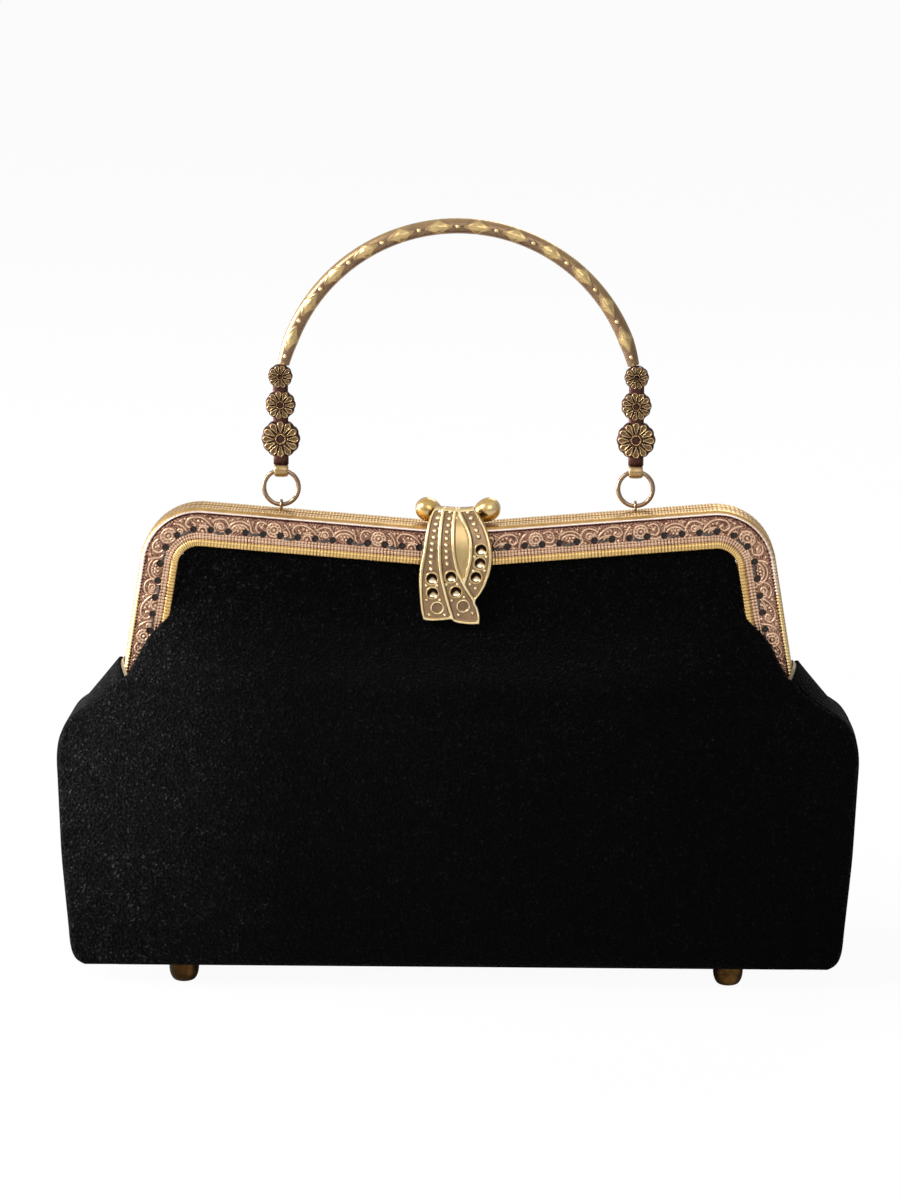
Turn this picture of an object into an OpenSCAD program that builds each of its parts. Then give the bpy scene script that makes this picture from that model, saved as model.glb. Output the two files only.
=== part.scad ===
// Kiss lock frame purse: a velvet body with feet, hung in a hinged pair of brass
// frame halves, closed by two crossing knobs behind a draped scarf plate, and
// carried by a fixed arch on two rings. Origin on the ground under the middle of
// the bag, +X to the right, the front faces -Y, +Z up, millimetres.

/* [Frame] */
// Width across the two legs at the hinge line
frame_w = 203; // [160:1:260]
// Height of the hinge line above the ground
hinge_z = 89.5; // [80:0.5:120]
// Rise from the hinge line to the middle of the frame's top
frame_rise = 44.9; // [36:0.1:70]
// Lean of each leg away from upright, in degrees
leg_lean = 9.5; // [4:0.5:14]
// Slope of the top bar down to its middle, in degrees
top_dip = 4.6; // [2:0.2:7]
// Radius of each upper corner along its outer edge
corner_r = 18; // [13:1:26]
// Radius of the soft dip at the middle of the top bar
dip_r = 150; // [60:10:240]
// Height of the face of the frame
band = 10.6; // [9:0.2:14]
// Depth of one half from its face to the seam
half_depth = 6.7; // [5.5:0.1:10]
// Gap from the seam plane to each half
seam_gap = 0.3; // [0.2:0.05:0.5]
// Thickness of the frame's sheet metal
sheet = 0.8; // [0.6:0.1:1.2]
// Radius where the face turns into the top
edge_r = 2.4; // [1.5:0.1:3]
// Height of the ribbed roll along the inner edge
rim_h = 3.1; // [2:0.1:4]
// How far that roll stands off the face
rim_out = 0.8; // [0.4:0.1:1.2]
// Diameter of a sewing hole
hole_d = 1.5; // [1:0.1:2]
// Distance between neighbouring sewing holes
hole_pitch = 5.25; // [4:0.05:8]
// Distance from the outer edge to the row of sewing holes
hole_in = 6.3; // [5:0.1:7]
// How far the row of sewing holes sits to the right of the middle
hole_shift = 1.9; // [-2.6:0.1:2.6]
// Height of the pressed ornament over the face
emboss = 0.35; // [0.2:0.05:0.6]

/* [Hinges] */
// Diameter of the rivet that joins the two halves
rivet_d = 3; // [2:0.1:4]
// Diameter of the rivet's heads
rivet_head_d = 5.2; // [4.5:0.1:7]
// Radius of the round ear at the foot of each leg
ear_r = 4; // [3.4:0.1:5]
// Thickness of each ear
ear_t = 1; // [0.8:0.1:1.5]
// Running clearance round the rivet in the front ear
rivet_play = 0.05; // [0.02:0.01:0.1]

/* [Lock] */
// Distance between the middles of the two knobs
knob_span = 17.6; // [16:0.2:24]
// Diameter of a knob
knob_d = 8; // [6:0.2:9]
// Length of a knob
knob_l = 10; // [8:0.2:12]
// Height of the knobs' middles over the top of the frame
knob_up = 5; // [4.5:0.1:8]
// Diameter of the arm under each knob
arm_d = 2.4; // [1.8:0.1:2.8]
// Length of the scarf plate that hangs below the top of the frame
scarf_drop = 28; // [22:0.5:34]
// Width of the scarf plate at its fullest
scarf_w = 22.5; // [18:0.5:26]
// Thickness of the scarf plate
scarf_t = 1.2; // [0.8:0.1:1.6]

/* [Handle] */
// Distance between the two rings
ring_span = 107; // [90:1:130]
// Outer diameter of a ring
ring_d = 12; // [11:0.5:18]
// Diameter of the ring's wire
ring_wire = 1.5; // [1.2:0.1:1.8]
// Height of the top of the arch over the rings' top
handle_rise = 76.3; // [60:1:110]
// Diameter of the arch's rod
rod_d = 4.6; // [3.6:0.2:6]
// Diameters of the three rosettes, from the ring upwards
rosette_low_d = 11.4; // [9:0.2:14]
// Diameter of the middle rosette
rosette_mid_d = 8.9; // [7:0.1:11]
// Diameter of the upper rosette
rosette_top_d = 7.2; // [6:0.1:9]

/* [Bag] */
// Width of the bag at its shoulders
bag_w = 242; // [220:1:300]
// Width of the bag at its base
base_w = 237; // [210:1:290]
// Depth of the bag at its base, front to back
base_d = 74; // [60:1:100]
// Height of the shoulders above the ground
shoulder_z = 66; // [50:1:74]
// Thickness of the velvet with its backing
cloth = 1.2; // [0.8:0.1:1.6]
// Thickness of the lining
lining = 0.5; // [0.4:0.1:0.8]
// Gap between the layers of cloth
ply_gap = 0.3; // [0.2:0.05:0.5]
// Thickness of the stiff board in the base
board_t = 2; // [1.5:0.1:3]

/* [Feet] */
// Height of a foot
foot_h = 7; // [5:0.5:10]
// Diameter of a foot
foot_d = 9; // [7:0.5:12]
// Distance from a foot's middle to the end of the base
foot_side = 36.5; // [25:0.5:50]
// Distance from a foot's middle to the front of the base
foot_in = 9; // [8:0.5:14]

/* [Hidden] */
$fn = 48;
brass = [0.66, 0.53, 0.41];
pale_brass = [0.84, 0.74, 0.56];
dark_bronze = [0.33, 0.24, 0.13];
velvet = [0.07, 0.07, 0.08];
satin = [0.72, 0.62, 0.48];
play = 0.02; // clearance of pieces that are pressed or seated together
near = 0.1;  // clearance between fixed pieces that face each other

// The frame's outer edge, as the foot, the corner's centre and the dip's centre
top_z = hinge_z + frame_rise;
turn = 90 + top_dip - leg_lean;
leg_x = frame_w / 2;
vertex_z = (top_z + tan(top_dip) * (leg_x + hinge_z * tan(leg_lean)))
    / (1 + tan(top_dip) * tan(leg_lean));
vertex_x = leg_x - (vertex_z - hinge_z) * tan(leg_lean);
corner_cut = corner_r * tan(turn / 2);
leg_l = (vertex_z - hinge_z) / cos(leg_lean) - corner_cut;
bar_l = vertex_x / cos(top_dip) - corner_cut - dip_r * tan(top_dip);
corner_x = leg_x - leg_l * sin(leg_lean) - corner_r * cos(leg_lean);
corner_z = hinge_z + leg_l * cos(leg_lean) - corner_r * sin(leg_lean);
dip_z = top_z + dip_r / cos(top_dip);
mid_z = dip_z - dip_r; // top of the frame at its middle
face = seam_gap + half_depth; // distance of the face from the seam plane

// Length of the frame's edge at a depth u inside it, up to each change of form
function dip_len(u) = (dip_r + u) * top_dip * PI / 180;
function corner_len(u) = (corner_r - u) * turn * PI / 180;
function edge_len(u) = dip_len(u) + bar_l + corner_len(u) + leg_l;
// Place and heading [x, z, angle] at a length s from the middle, at a depth u
function on_frame(s, u) =
    s <= dip_len(u) ? let(a = s / (dip_r + u) * 180 / PI)
        [(dip_r + u) * sin(a), dip_z - (dip_r + u) * cos(a), a]
    : s <= dip_len(u) + bar_l ? let(k = s - dip_len(u))
        [(dip_r + u) * sin(top_dip) + k * cos(top_dip),
        dip_z - (dip_r + u) * cos(top_dip) + k * sin(top_dip), top_dip]
    : s <= dip_len(u) + bar_l + corner_len(u)
        ? let(k = (s - dip_len(u) - bar_l) / (corner_r - u) * 180 / PI, a = top_dip - k)
        [corner_x + (corner_r - u) * sin(-a), corner_z + (corner_r - u) * cos(a), a]
    : let(k = s - dip_len(u) - bar_l - corner_len(u))
        [corner_x + (corner_r - u) * cos(leg_lean) + k * sin(leg_lean),
        corner_z + (corner_r - u) * sin(leg_lean) - k * cos(leg_lean), leg_lean - 90];
// Height of the frame's edge over a place x, at a depth u, and width of a leg at z
function edge_z(x, u) = let(a = abs(x), r = corner_r - u)
    a < (dip_r + u) * sin(top_dip) ? dip_z - sqrt(pow(dip_r + u, 2) - a * a)
    : a < corner_x - r * sin(top_dip)
        ? dip_z - (dip_r + u) / cos(top_dip) + a * tan(top_dip)
    : corner_z + sqrt(max(0, r * r - pow(a - corner_x, 2)));
function leg_at(z) = leg_x - (z - hinge_z) * tan(leg_lean);

// Points of an arc, and smooth curves through points
function arc(c, r, a0, a1, n = 6) = [for (i = [0:n]) let(a = a0 + (a1 - a0) * i / n)
    [c[0] + r * cos(a), c[1] + r * sin(a)]];
function pick(p, i) = p[max(0, min(len(p) - 1, i))];
function between(a, b, c, d, f) = 0.5 * (2 * b + (c - a) * f
    + (2 * a - 5 * b + 4 * c - d) * f * f + (3 * b - a - 3 * c + d) * f * f * f);
function spline(p, t) = let(i = min(floor(t), len(p) - 2))
    between(pick(p, i - 1), p[i], p[i + 1], pick(p, i + 2), t - i);
function open_curve(p, n) = [for (i = [0:(len(p) - 1) * n]) spline(p, i / n)];
function closed_curve(p, n) = let(m = len(p)) [for (i = [0:m - 1], j = [0:n - 1])
    between(p[(i + m - 1) % m], p[i], p[(i + 1) % m], p[(i + 2) % m], j / n)];
// A strip of thickness t laid along a curve, as a closed outline
function left_of(p, i) = let(d = pick(p, i + 1) - pick(p, i - 1)) [-d[1], d[0]] / norm(d);
function strip(p, t) = concat([for (i = [0:len(p) - 1]) p[i] + left_of(p, i) * t / 2],
    [for (i = [len(p) - 1:-1:0]) p[i] - left_of(p, i) * t / 2]);

// Section of one frame half: x runs inwards from the outer edge, y towards the face
roll_r = (rim_h * rim_h / 4 + rim_out * rim_out) / (2 * rim_out);
roll_a = asin(rim_h / 2 / roll_r);
frame_section = concat([[sheet, seam_gap], [0, seam_gap]],
    arc([edge_r, face - edge_r], edge_r, 180, 90),
    arc([band - rim_h / 2, face + rim_out - roll_r], roll_r, 90 + roll_a, 90 - roll_a, 8),
    [[band, face - sheet]],
    arc([edge_r, face - edge_r], edge_r - sheet, 90, 180, 4));

// Bring a drawing in x and z, raised towards the front, into place
module facing_front() rotate([90, 0, 0]) children();

lap = 0.1; // straight stretches run this far into the bends, so that they join
module frame_leg() translate([leg_x, hinge_z, 0]) rotate([0, 0, 90 + leg_lean])
    rotate([90, 0, 90]) linear_extrude(leg_l + lap) polygon(frame_section);

module frame_corner() translate([corner_x, corner_z, 0]) rotate([0, 0, leg_lean])
    rotate_extrude(angle = turn) polygon([for (p = frame_section) [corner_r - p[0], p[1]]]);

module frame_bar() translate([corner_x - corner_r * sin(top_dip),
    corner_z + corner_r * cos(top_dip), 0]) rotate([0, 0, 180 + top_dip])
    rotate([90, 0, 90]) translate([0, 0, -lap]) linear_extrude(bar_l + 2 * lap)
    polygon(frame_section);

module frame_dip() translate([0, dip_z, 0]) rotate([0, 0, 270 - top_dip])
    rotate_extrude(angle = 2 * top_dip)
    polygon([for (p = frame_section) [dip_r + p[0], p[1]]]);

module frame_channel() facing_front() union() {
    for (side = [0, 1]) mirror([side, 0, 0]) {
        frame_leg();
        frame_corner();
        frame_bar();
    }
    frame_dip();
}

// Put a drawing on the face at a length s right of the middle, its +y outwards
module on_face(s, u) {
    p = on_frame(abs(s), u);
    a = s < 0 ? -p[2] : p[2];
    translate([s < 0 ? -p[0] : p[0], p[1], face]) rotate([0, 0, a]) children();
}

// A row of holes through the face, and between them arches over flowers and leaves
hole_end = edge_len(hole_in) - hole_pitch;
hole_n = floor(hole_end / hole_pitch);
module sewing_holes() facing_front() for (i = [-hole_n - 1:hole_n])
    let(s = (i + 0.5) * hole_pitch + hole_shift) if (abs(s) < hole_end)
    on_face(s, hole_in) translate([0, 0, -2 * sheet]) cylinder(h = 4 * sheet, d = hole_d, $fn = 16);
motif_in = hole_in - 1.3; // depth of the ornament's base line
motif_r = motif_in - edge_r - 0.4;
module flower() polygon([for (i = [0:9]) let(r = motif_r * (i % 2 == 0 ? 0.36 : 0.58))
    [r * cos(i * 36 - 90), r * sin(i * 36 - 90)]]);
module half_arch() polygon(concat(arc([0, 0], motif_r, 10, 170, 5),
    arc([0, 0], 0.76 * motif_r, 170, 10, 4)));
module leaf() polygon(concat(arc([0, -motif_r * 0.6], motif_r * 1.3, 40, 140, 3),
    arc([0, motif_r * 0.9], motif_r * 1.1, 220, 320, 2)));
module ornament() facing_front() for (i = [-hole_n:hole_n])
    let(s = i * hole_pitch + hole_shift) if (abs(s) < hole_end - hole_pitch / 2 && abs(s) > half)
    on_face(s, motif_in) translate([0, 0, -sheet / 2]) linear_extrude(sheet / 2 + emboss)
    if (i % 2 == 0) leaf(); else { half_arch(); flower(); }

// Ears: the front pair lies outside, the back pair inside, a gap apart
ear_top = hinge_z + ear_r + 0.6; // the walls of the legs stop here, above the ears
ear_out = leg_x - ear_t - seam_gap; // outer face of the back ear
lug_h = 3.4; // height over which an ear is joined to its leg
module ear(x) {
    translate([x, 0, hinge_z]) rotate([0, 90, 0]) cylinder(h = ear_t, r = ear_r);
}
module leg_relief() for (side = [-1, 1])
    translate([side * leg_x - 3 * ear_t, -ear_r - 0.7, hinge_z - 1])
    cube([6 * ear_t, ear_r + 0.7, ear_top - hinge_z + 1]);

module front_ear() {
    ear(leg_x - ear_t);
    translate([leg_x - ear_t, -ear_r, hinge_z])
        cube([ear_t, ear_r - seam_gap, ear_top + lug_h - hinge_z]);
    translate([leg_at(ear_top + lug_h) - sheet, -ear_r, ear_top])
        cube([leg_x - leg_at(ear_top + lug_h) + sheet, ear_r - seam_gap, lug_h]);
}
module back_ear() {
    ear(ear_out - ear_t);
    translate([ear_out - ear_t, -ear_r, hinge_z])
        cube([ear_t, ear_r - seam_gap, ear_top + lug_h - hinge_z]);
}

// Pegs of the scarf plate, and their holes in the front face
peg_d = 2.4;
peg_x = 4;
peg_z = mid_z - edge_r - 3.4;
module pegs(d, y0, y1) for (side = [-1, 1])
    translate([side * peg_x, y1, peg_z]) rotate([90, 0, 0]) cylinder(h = y1 - y0, d = d);

module frame_half() difference() {
    union() {
        frame_channel();
        ornament();
    }
    sewing_holes();
    leg_relief();
}

module front_frame() color(brass) difference() {
    union() {
        frame_half();
        for (side = [0, 1]) mirror([side, 0, 0]) front_ear();
    }
    for (side = [-1, 1]) translate([side * leg_x, 0, hinge_z]) rotate([0, 90, 0])
        cylinder(h = 4 * ear_t, d = rivet_d + 2 * rivet_play, center = true);
    pegs(peg_d + 2 * play, -face - 1, -face + 2 * sheet);
}

module back_frame() color(brass) rotate([0, 0, 180]) difference() {
    union() {
        frame_half();
        for (side = [0, 1]) mirror([side, 0, 0]) back_ear();
    }
    for (side = [-1, 1]) translate([side * (ear_out - ear_t / 2), 0, hinge_z])
        rotate([0, 90, 0]) cylinder(h = 2 * ear_t, d = rivet_d + 2 * play, center = true);
}

// Rivet along +X from inside the back ear to outside the front ear
head_h = 0.8;
head_gap = 0.05;
module rivet_head() rotate([0, 90, 0]) rotate_extrude()
    polygon(concat([[0, 0], [rivet_head_d / 2, 0]],
    [for (a = [0:15:90]) [rivet_head_d / 2 * cos(a), head_h * sin(a)]]));
module rivet() color(brass) union() {
    translate([ear_out - ear_t - head_gap - play, 0, hinge_z]) {
        mirror([1, 0, 0]) rivet_head();
        rotate([0, 90, 0]) cylinder(h = leg_x - ear_out + ear_t + 2 * (head_gap + play),
            d = rivet_d);
    }
    translate([leg_x + head_gap + play, 0, hinge_z]) rivet_head();
}
module hinge_rivet_right() rivet();
module hinge_rivet_left() mirror([1, 0, 0]) rivet();

// Lock: each arm stands on its own half, crosses the middle and carries a knob
function rod_angles(v) = [0, acos(v[2] / norm(v)), atan2(v[1], v[0])];
module rod(a, b, d) translate(a) rotate(rod_angles(b - a)) cylinder(h = norm(b - a), d = d);
knob_z = mid_z + knob_up;
arm_foot = [3, -3.2, mid_z];
arm_elbow = [1.5, -1.7, mid_z + 3.7];
knob_mid = [-knob_span / 2, 0, knob_z];
knob_tilt = 28; // the knob's long axis rises outwards by this angle
module knob_body() rotate([0, -90 + knob_tilt, 0]) rotate_extrude()
    polygon([for (a = [-90:10:90]) let(k = 1 + 0.12 * sin(a))
    [knob_d / 2 * cos(a) * k, knob_l / 2 * sin(a)]]);
module lock_knob() color(pale_brass) union() {
    translate([arm_foot[0], arm_foot[1], edge_z(arm_foot[0], 0) + near]) cylinder(h = 1, d = arm_d + 0.8);
    rod(arm_foot + [0, 0, near + 0.5], arm_elbow, arm_d);
    translate(arm_elbow) sphere(d = arm_d + 0.3);
    rod(arm_elbow, knob_mid, arm_d);
    translate(knob_mid) knob_body();
}
module front_lock_knob() lock_knob();
module back_lock_knob() rotate([0, 0, 180]) lock_knob();

// Scarf plate: its outline seen from the front, and its fall seen from the side
// Both are drawn in shares of the plate's half width and of its drop
half = scarf_w / 2;
scarf_up = 1.28 * knob_up; // height of the plate's top over the frame
function at_share(p) = [for (q = p) [q[0] * half, mid_z - q[1] * scarf_drop]];
scarf_high = -scarf_up / scarf_drop;
scarf_outline = closed_curve(at_share([[-0.55, scarf_high], [-0.7, -0.07], [-0.84, 0.21],
    [-0.92, 0.5], [-0.88, 0.79], [-0.72, 0.97], [-0.1, 0.98], [0.2, 1.02], [0.76, 1], [0.8, 0.86],
    [0.68, 0.68], [0.98, 0.43], [1.1, 0.14], [0.92, -0.11], [0.55, scarf_high - 0.01],
    [0, scarf_high + 0.02]]), 4);
scarf_off = 1.52 * face; // how far the plate's lower end lies in front of the seam
scarf_fall = open_curve([for (p = [[1, 1.07], [1.08, 0.75], [1.08, 0.46], [1, 0.18], [0.83, -0.02],
    [0.6, -0.16], [0.38, scarf_high - 0.06]]) [p[0] * scarf_off, mid_z - p[1] * scarf_drop]], 3);
// A solid sheet under the fall, raised by some height, wide enough for any outline
module draped(t, lift = 0) translate([scarf_w, 0, 0]) rotate([90, 0, -90])
    linear_extrude(2 * scarf_w)
    polygon(strip([for (i = [0:len(scarf_fall) - 1])
    scarf_fall[i] - left_of(scarf_fall, i) * lift], t));
module cut_from_front() facing_front() linear_extrude(2 * scarf_off) children();
// Three ribs that run down the folds, as middle lines in shares of half the width
rib_w = 0.058 * scarf_w;
rib_h = 0.42 * scarf_t;
ribs = [
    [[-0.45, 1], [-0.72, 0.7], [-0.78, 0.42], [-0.66, 0.2], [-0.4, 0.07], [0, 0.01]],
    [[-0.18, 1], [-0.3, 0.7], [-0.28, 0.48], [0, 0.28], [0.4, 0.12], [0.72, 0.03]],
    [[0.1, 1], [0.4, 0.8], [0.62, 0.58], [0.6, 0.38], [0.36, 0.24]]];
function rib_line(r) = open_curve([for (p = r)
    [p[0] * half, mid_z + scarf_up - 1 - (1 - p[1]) * (scarf_up - 1 + scarf_drop)]], 4);
module scarf_plate() color(pale_brass) union() {
    intersection() {
        draped(scarf_t);
        cut_from_front() polygon(scarf_outline);
    }
    intersection() {
        draped(rib_h * 2, scarf_t / 2);
        cut_from_front() polygon(scarf_outline);
        cut_from_front() for (r = ribs) polygon(strip(rib_line(r), rib_w));
    }
    pegs(peg_d, -scarf_off, -face + sheet - 0.1);
}

// Loops on the back half, and the rings that they hold
ring_x = ring_span / 2;
ring_r = (ring_d - ring_wire) / 2;
loop_hole = ring_wire / 2 + 0.35;
loop_wire = 1.2;
loop_up = loop_hole + 0.25;
back_mid = seam_gap + half_depth / 2;
loop_z = edge_z(ring_x, 0) + loop_up;
ring_top = loop_z + 2 * ring_r; // the handle turns about this height
module torus(r, d) rotate_extrude() translate([r, 0]) circle(d = d, $fn = 24);
module handle_loop() color(brass) difference() {
    translate([ring_x, back_mid, loop_z]) rotate([0, 90, 0])
        torus(loop_hole + loop_wire / 2, loop_wire);
    translate([ring_x, back_mid, edge_z(ring_x, 0) + play]) rotate([0, -top_dip, 0])
        translate([-5, -5, -10]) cube(10);
}
module handle_loop_right() handle_loop();
module handle_loop_left() mirror([1, 0, 0]) handle_loop();
module ring() color(brass) translate([ring_x, back_mid, loop_z + ring_r]) rotate([90, 0, 0])
    torus(ring_r, ring_wire);
module ring_right() ring();
module ring_left() mirror([1, 0, 0]) ring();

// Handle: an arch of rod between two stems that carry three rosettes each
arch_r = ring_x + 0.4;
arch_z = ring_top + handle_rise - rod_d / 2 - arch_r;
bail_bore = ring_wire + 1.3;
bail_d = bail_bore + 1.4;
bail_w = 4.6;
low_z = ring_top + bail_d / 2 + 1.9 + rosette_low_d / 2;
mid_rose_z = low_z + (rosette_low_d + rosette_mid_d) / 2 + 0.2;
top_rose_z = mid_rose_z + (rosette_mid_d + rosette_top_d) / 2 + 0.6;
arch_a = asin((top_rose_z + rosette_top_d / 2 - arch_z) / arch_r); // where the rod starts
collar_a = 3;
bead_a = 12.35; // beads sit on the rod at this step round the arch
bead_d = 1.9;
module handle_arch() color(pale_brass) translate([0, back_mid, arch_z]) rotate([90, 0, 0])
    union() {
        rotate([0, 0, arch_a + collar_a]) rotate_extrude(angle = 180 - 2 * (arch_a + collar_a))
            translate([arch_r, 0]) circle(d = rod_d, $fn = 32);
        for (i = [-5:5], face_side = [-1, 1]) rotate([0, 0, 90 + i * bead_a])
            translate([arch_r, 0, face_side * rod_d / 2]) sphere(d = bead_d, $fn = 16);
    }
// A rosette of round petals with a cup in its middle, the same on both faces
petals = 12;
rosette_t = 2.2;
function petal_edge(r, n) = [for (i = [0:n * 6 - 1]) let(a = i * 60 / n,
    k = 0.9 + 0.1 * sqrt(abs(cos(a * n / 2)))) [r * k * cos(a), r * k * sin(a)]];
module rosette(d) {
    linear_extrude(rosette_t, center = true) polygon(petal_edge(d / 2, petals));
    for (side = [0, 1]) mirror([0, 0, side]) difference() {
        translate([0, 0, rosette_t / 2 - 0.01]) cylinder(h = 0.7, d = 0.62 * d);
        translate([0, 0, rosette_t / 2 + 0.1]) cylinder(h = 1, d = 0.34 * d);
    }
}
module flower_end() color(brass) translate([0, back_mid, 0]) rotate([90, 0, 0]) difference() {
    union() {
        translate([ring_x, ring_top, 0]) rotate([0, 90, 0])
            cylinder(h = bail_w, d = bail_d, center = true);
        translate([ring_x, ring_top + bail_bore / 2 + 0.3, 0]) rotate([-90, 0, 0])
            cylinder(h = top_rose_z - ring_top - bail_bore / 2 - 0.3, d = 3.2);
        translate([ring_x, low_z, 0]) rosette(rosette_low_d);
        translate([ring_x, mid_rose_z, 0]) rosette(rosette_mid_d);
        translate([ring_x, top_rose_z, 0]) rosette(rosette_top_d);
        translate([0, arch_z, 0]) rotate([0, 0, arch_a - 4]) rotate_extrude(angle = collar_a + 4)
            translate([arch_r, 0]) circle(d = rod_d + 0.6, $fn = 32);
    }
    translate([ring_x, ring_top, 0]) rotate([0, 90, 0])
        cylinder(h = bail_w + 2, d = bail_bore, center = true);
}
module flower_end_right() flower_end();
module flower_end_left() mirror([1, 0, 0]) flower_end();

// Bag: rows of half width, height, depth at the side edge and depth at the middle
base_z = foot_h;
fold = hinge_z + 0.4; // the panels are split here, at the hinge line
top_bulge = 12.2; // depth that the upper panel gains from the frame to the fold
fold_mid = face - sheet + top_bulge + 4.6;
waist = leg_x - 2;
bag_rows = [
    [base_w / 2 - 7.5, base_z + 0.2, base_d / 2 - 4, base_d / 2 - 1],
    [base_w / 2 - 2, base_z + 7, base_d / 2 - 4.5, base_d / 2],
    [base_w / 2 + 0.3, lerp(base_z, shoulder_z, 0.5), base_d / 2 - 11, base_d / 2 - 1.5],
    [bag_w / 2, shoulder_z, 13, lerp(base_d / 2, fold_mid, 0.48)],
    [lerp(leg_x, bag_w / 2, 0.72), lerp(shoulder_z, hinge_z, 0.5), 11.6,
        lerp(base_d / 2, fold_mid, 0.78)],
    [leg_x + 1, hinge_z - ear_r - 2, 11.4, lerp(base_d / 2, fold_mid, 0.96)],
    [waist, fold - 0.4, 11.8, fold_mid]];
function lerp(a, b, t) = a + (b - a) * t;
function bag_row(t) = spline(bag_rows, t);
// A place on the outside of the lower panel: s across from -1 to 1, t up the rows
function panel_pt(s, t, inset) = let(r = bag_row(t))
    [s * (r[0] - inset), -(r[2] + (r[3] - r[2]) * (1 - pow(abs(s), 3))) + inset, r[1]];
// A place on the upper panel: s across, t up to the frame, behind the face
tuck = 1.2; // how far the cloth's edge stays inside the frame's wall
function upper_pt(s, t, inset) = let(
    x1 = s * (corner_x + corner_r * 0.55), x0 = s * (leg_x - sheet - tuck - 2.5),
    z1 = edge_z(x1, sheet + tuck), x = lerp(x0, x1, t), z = lerp(fold, z1, t),
    rim = edge_z(x1, band), low = max(0, rim - z) / (rim - hinge_z),
    side = max(0, leg_at(z) - abs(x) - band - 3.4))
    [x, -(face - sheet - 2 * near) + inset - top_bulge * pow(low, 1.9) * (1 - exp(-side / 12)), z];
// Solid between two grids of points with the same rows and columns; a closed one
// joins its last column to its first, as a ring
module quilt(a, b, ring = false) {
    m = len(a);
    n = len(a[0]);
    k = m * n;
    function at(i, j) = i * n + j % n;
    cols = ring ? n - 1 : n - 2;
    polyhedron(points = [for (g = [a, b], r = g) each r], faces = concat(
        [for (i = [0:m - 2], j = [0:cols]) each
            [[at(i, j), at(i + 1, j + 1), at(i, j + 1)], [at(i, j), at(i + 1, j), at(i + 1, j + 1)]]],
        [for (i = [0:m - 2], j = [0:cols]) each
            [[k + at(i, j), k + at(i, j + 1), k + at(i + 1, j + 1)],
            [k + at(i, j), k + at(i + 1, j + 1), k + at(i + 1, j)]]],
        [for (i = [0:ring ? -1 : m - 2]) each
            [[at(i, 0), k + at(i, 0), k + at(i + 1, 0)], [at(i, 0), k + at(i + 1, 0), at(i + 1, 0)],
            [at(i, n - 1), at(i + 1, n - 1), k + at(i + 1, n - 1)],
            [at(i, n - 1), k + at(i + 1, n - 1), k + at(i, n - 1)]]],
        [for (j = [0:cols]) each
            [[at(0, j), at(0, j + 1), k + at(0, j + 1)], [at(0, j), k + at(0, j + 1), k + at(0, j)],
            [at(m - 1, j), k + at(m - 1, j), k + at(m - 1, j + 1)],
            [at(m - 1, j), k + at(m - 1, j + 1), at(m - 1, j + 1)]]]), convexity = 4);
}
across = [-1, -0.9, -0.82, -0.72, -0.6, -0.45, -0.3, -0.15, 0, 0.15, 0.3, 0.45, 0.6, 0.72, 0.82, 0.9, 1];
module lower_panel() color(velvet) quilt(
    [for (i = [0:12]) [for (s = across) panel_pt(s, i / 2, 0)]],
    [for (i = [0:12]) [for (s = across) panel_pt(s, i / 2, 0) + [0, cloth, 0]]]);
module upper_sheet(inset, t) quilt(
    [for (i = [0:7]) [for (s = across) upper_pt(s, i / 7, inset)]],
    [for (i = [0:7]) [for (s = across) upper_pt(s, i / 7, inset + t)]]);
module front_panel() lower_panel();
module back_panel() rotate([0, 0, 180]) lower_panel();
module front_panel_top() color(velvet) upper_sheet(0, cloth);
module back_panel_top() rotate([0, 0, 180]) front_panel_top();
module front_lining_top() color(satin) upper_sheet(cloth + ply_gap, lining);
module back_lining_top() rotate([0, 0, 180]) front_lining_top();

// Gusset: a strip between the side edges of the panels, puffed out in its middle
puff = 2.5;
gusset_rows = 5;
function gusset_pt(v, t, inset) = let(r = bag_row(t), q = bag_row(t + 0.01) - r,
    n = [q[1], -q[0]] / norm([q[0], q[1]]),
    out = puff * (1 - v * v) * sin(180 * t / gusset_rows) - inset)
    [r[0] + out * n[0], v * (r[2] - cloth - near), r[1] + out * n[1]];
module gusset() color(velvet) quilt(
    [for (i = [0:10]) [for (j = [-4:4]) gusset_pt(j / 4, i / 2, 0)]],
    [for (i = [0:10]) [for (j = [-4:4]) gusset_pt(j / 4, i / 2, cloth)]]);
module gusset_right() gusset();
module gusset_left() mirror([1, 0, 0]) gusset();

// Base: the velvet floor, the board that stiffens it and the lining over it
module rounded(w, d, r) {
    square([w - 2 * r, d], center = true);
    square([w, d - 2 * r], center = true);
    for (x = [-1, 1], y = [-1, 1]) translate([x * (w / 2 - r), y * (d / 2 - r)]) circle(r);
}
post_d = 2.4; // post of a foot, through the cloth and the board
washer_t = 0.6;
base_corner = 8;
floor_w = 2 * bag_rows[0][0];
floor_d = base_d - 8;
module base_panel() color(velvet) difference() {
    translate([0, 0, base_z - cloth]) linear_extrude(cloth) rounded(floor_w, floor_d, base_corner);
    foot_posts(post_d + 2 * play, base_z - 2 * cloth, base_z + 1);
}
board_z = base_z + ply_gap;
module base_board() color([0.55, 0.5, 0.42]) difference() {
    translate([0, 0, board_z]) linear_extrude(board_t)
        rounded(floor_w - 12, floor_d - 8, base_corner);
    foot_posts(post_d + 2 * play, board_z - 1, board_z + board_t + 1);
}
lining_z = board_z + board_t + washer_t + ply_gap;
lining_in = cloth + ply_gap + 0.6;
module lining_wall() quilt([for (i = [1:9]) lining_ring(i / 2, lining_in)],
    [for (i = [1:9]) lining_ring(i / 2, lining_in + lining)], ring = true);
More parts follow.
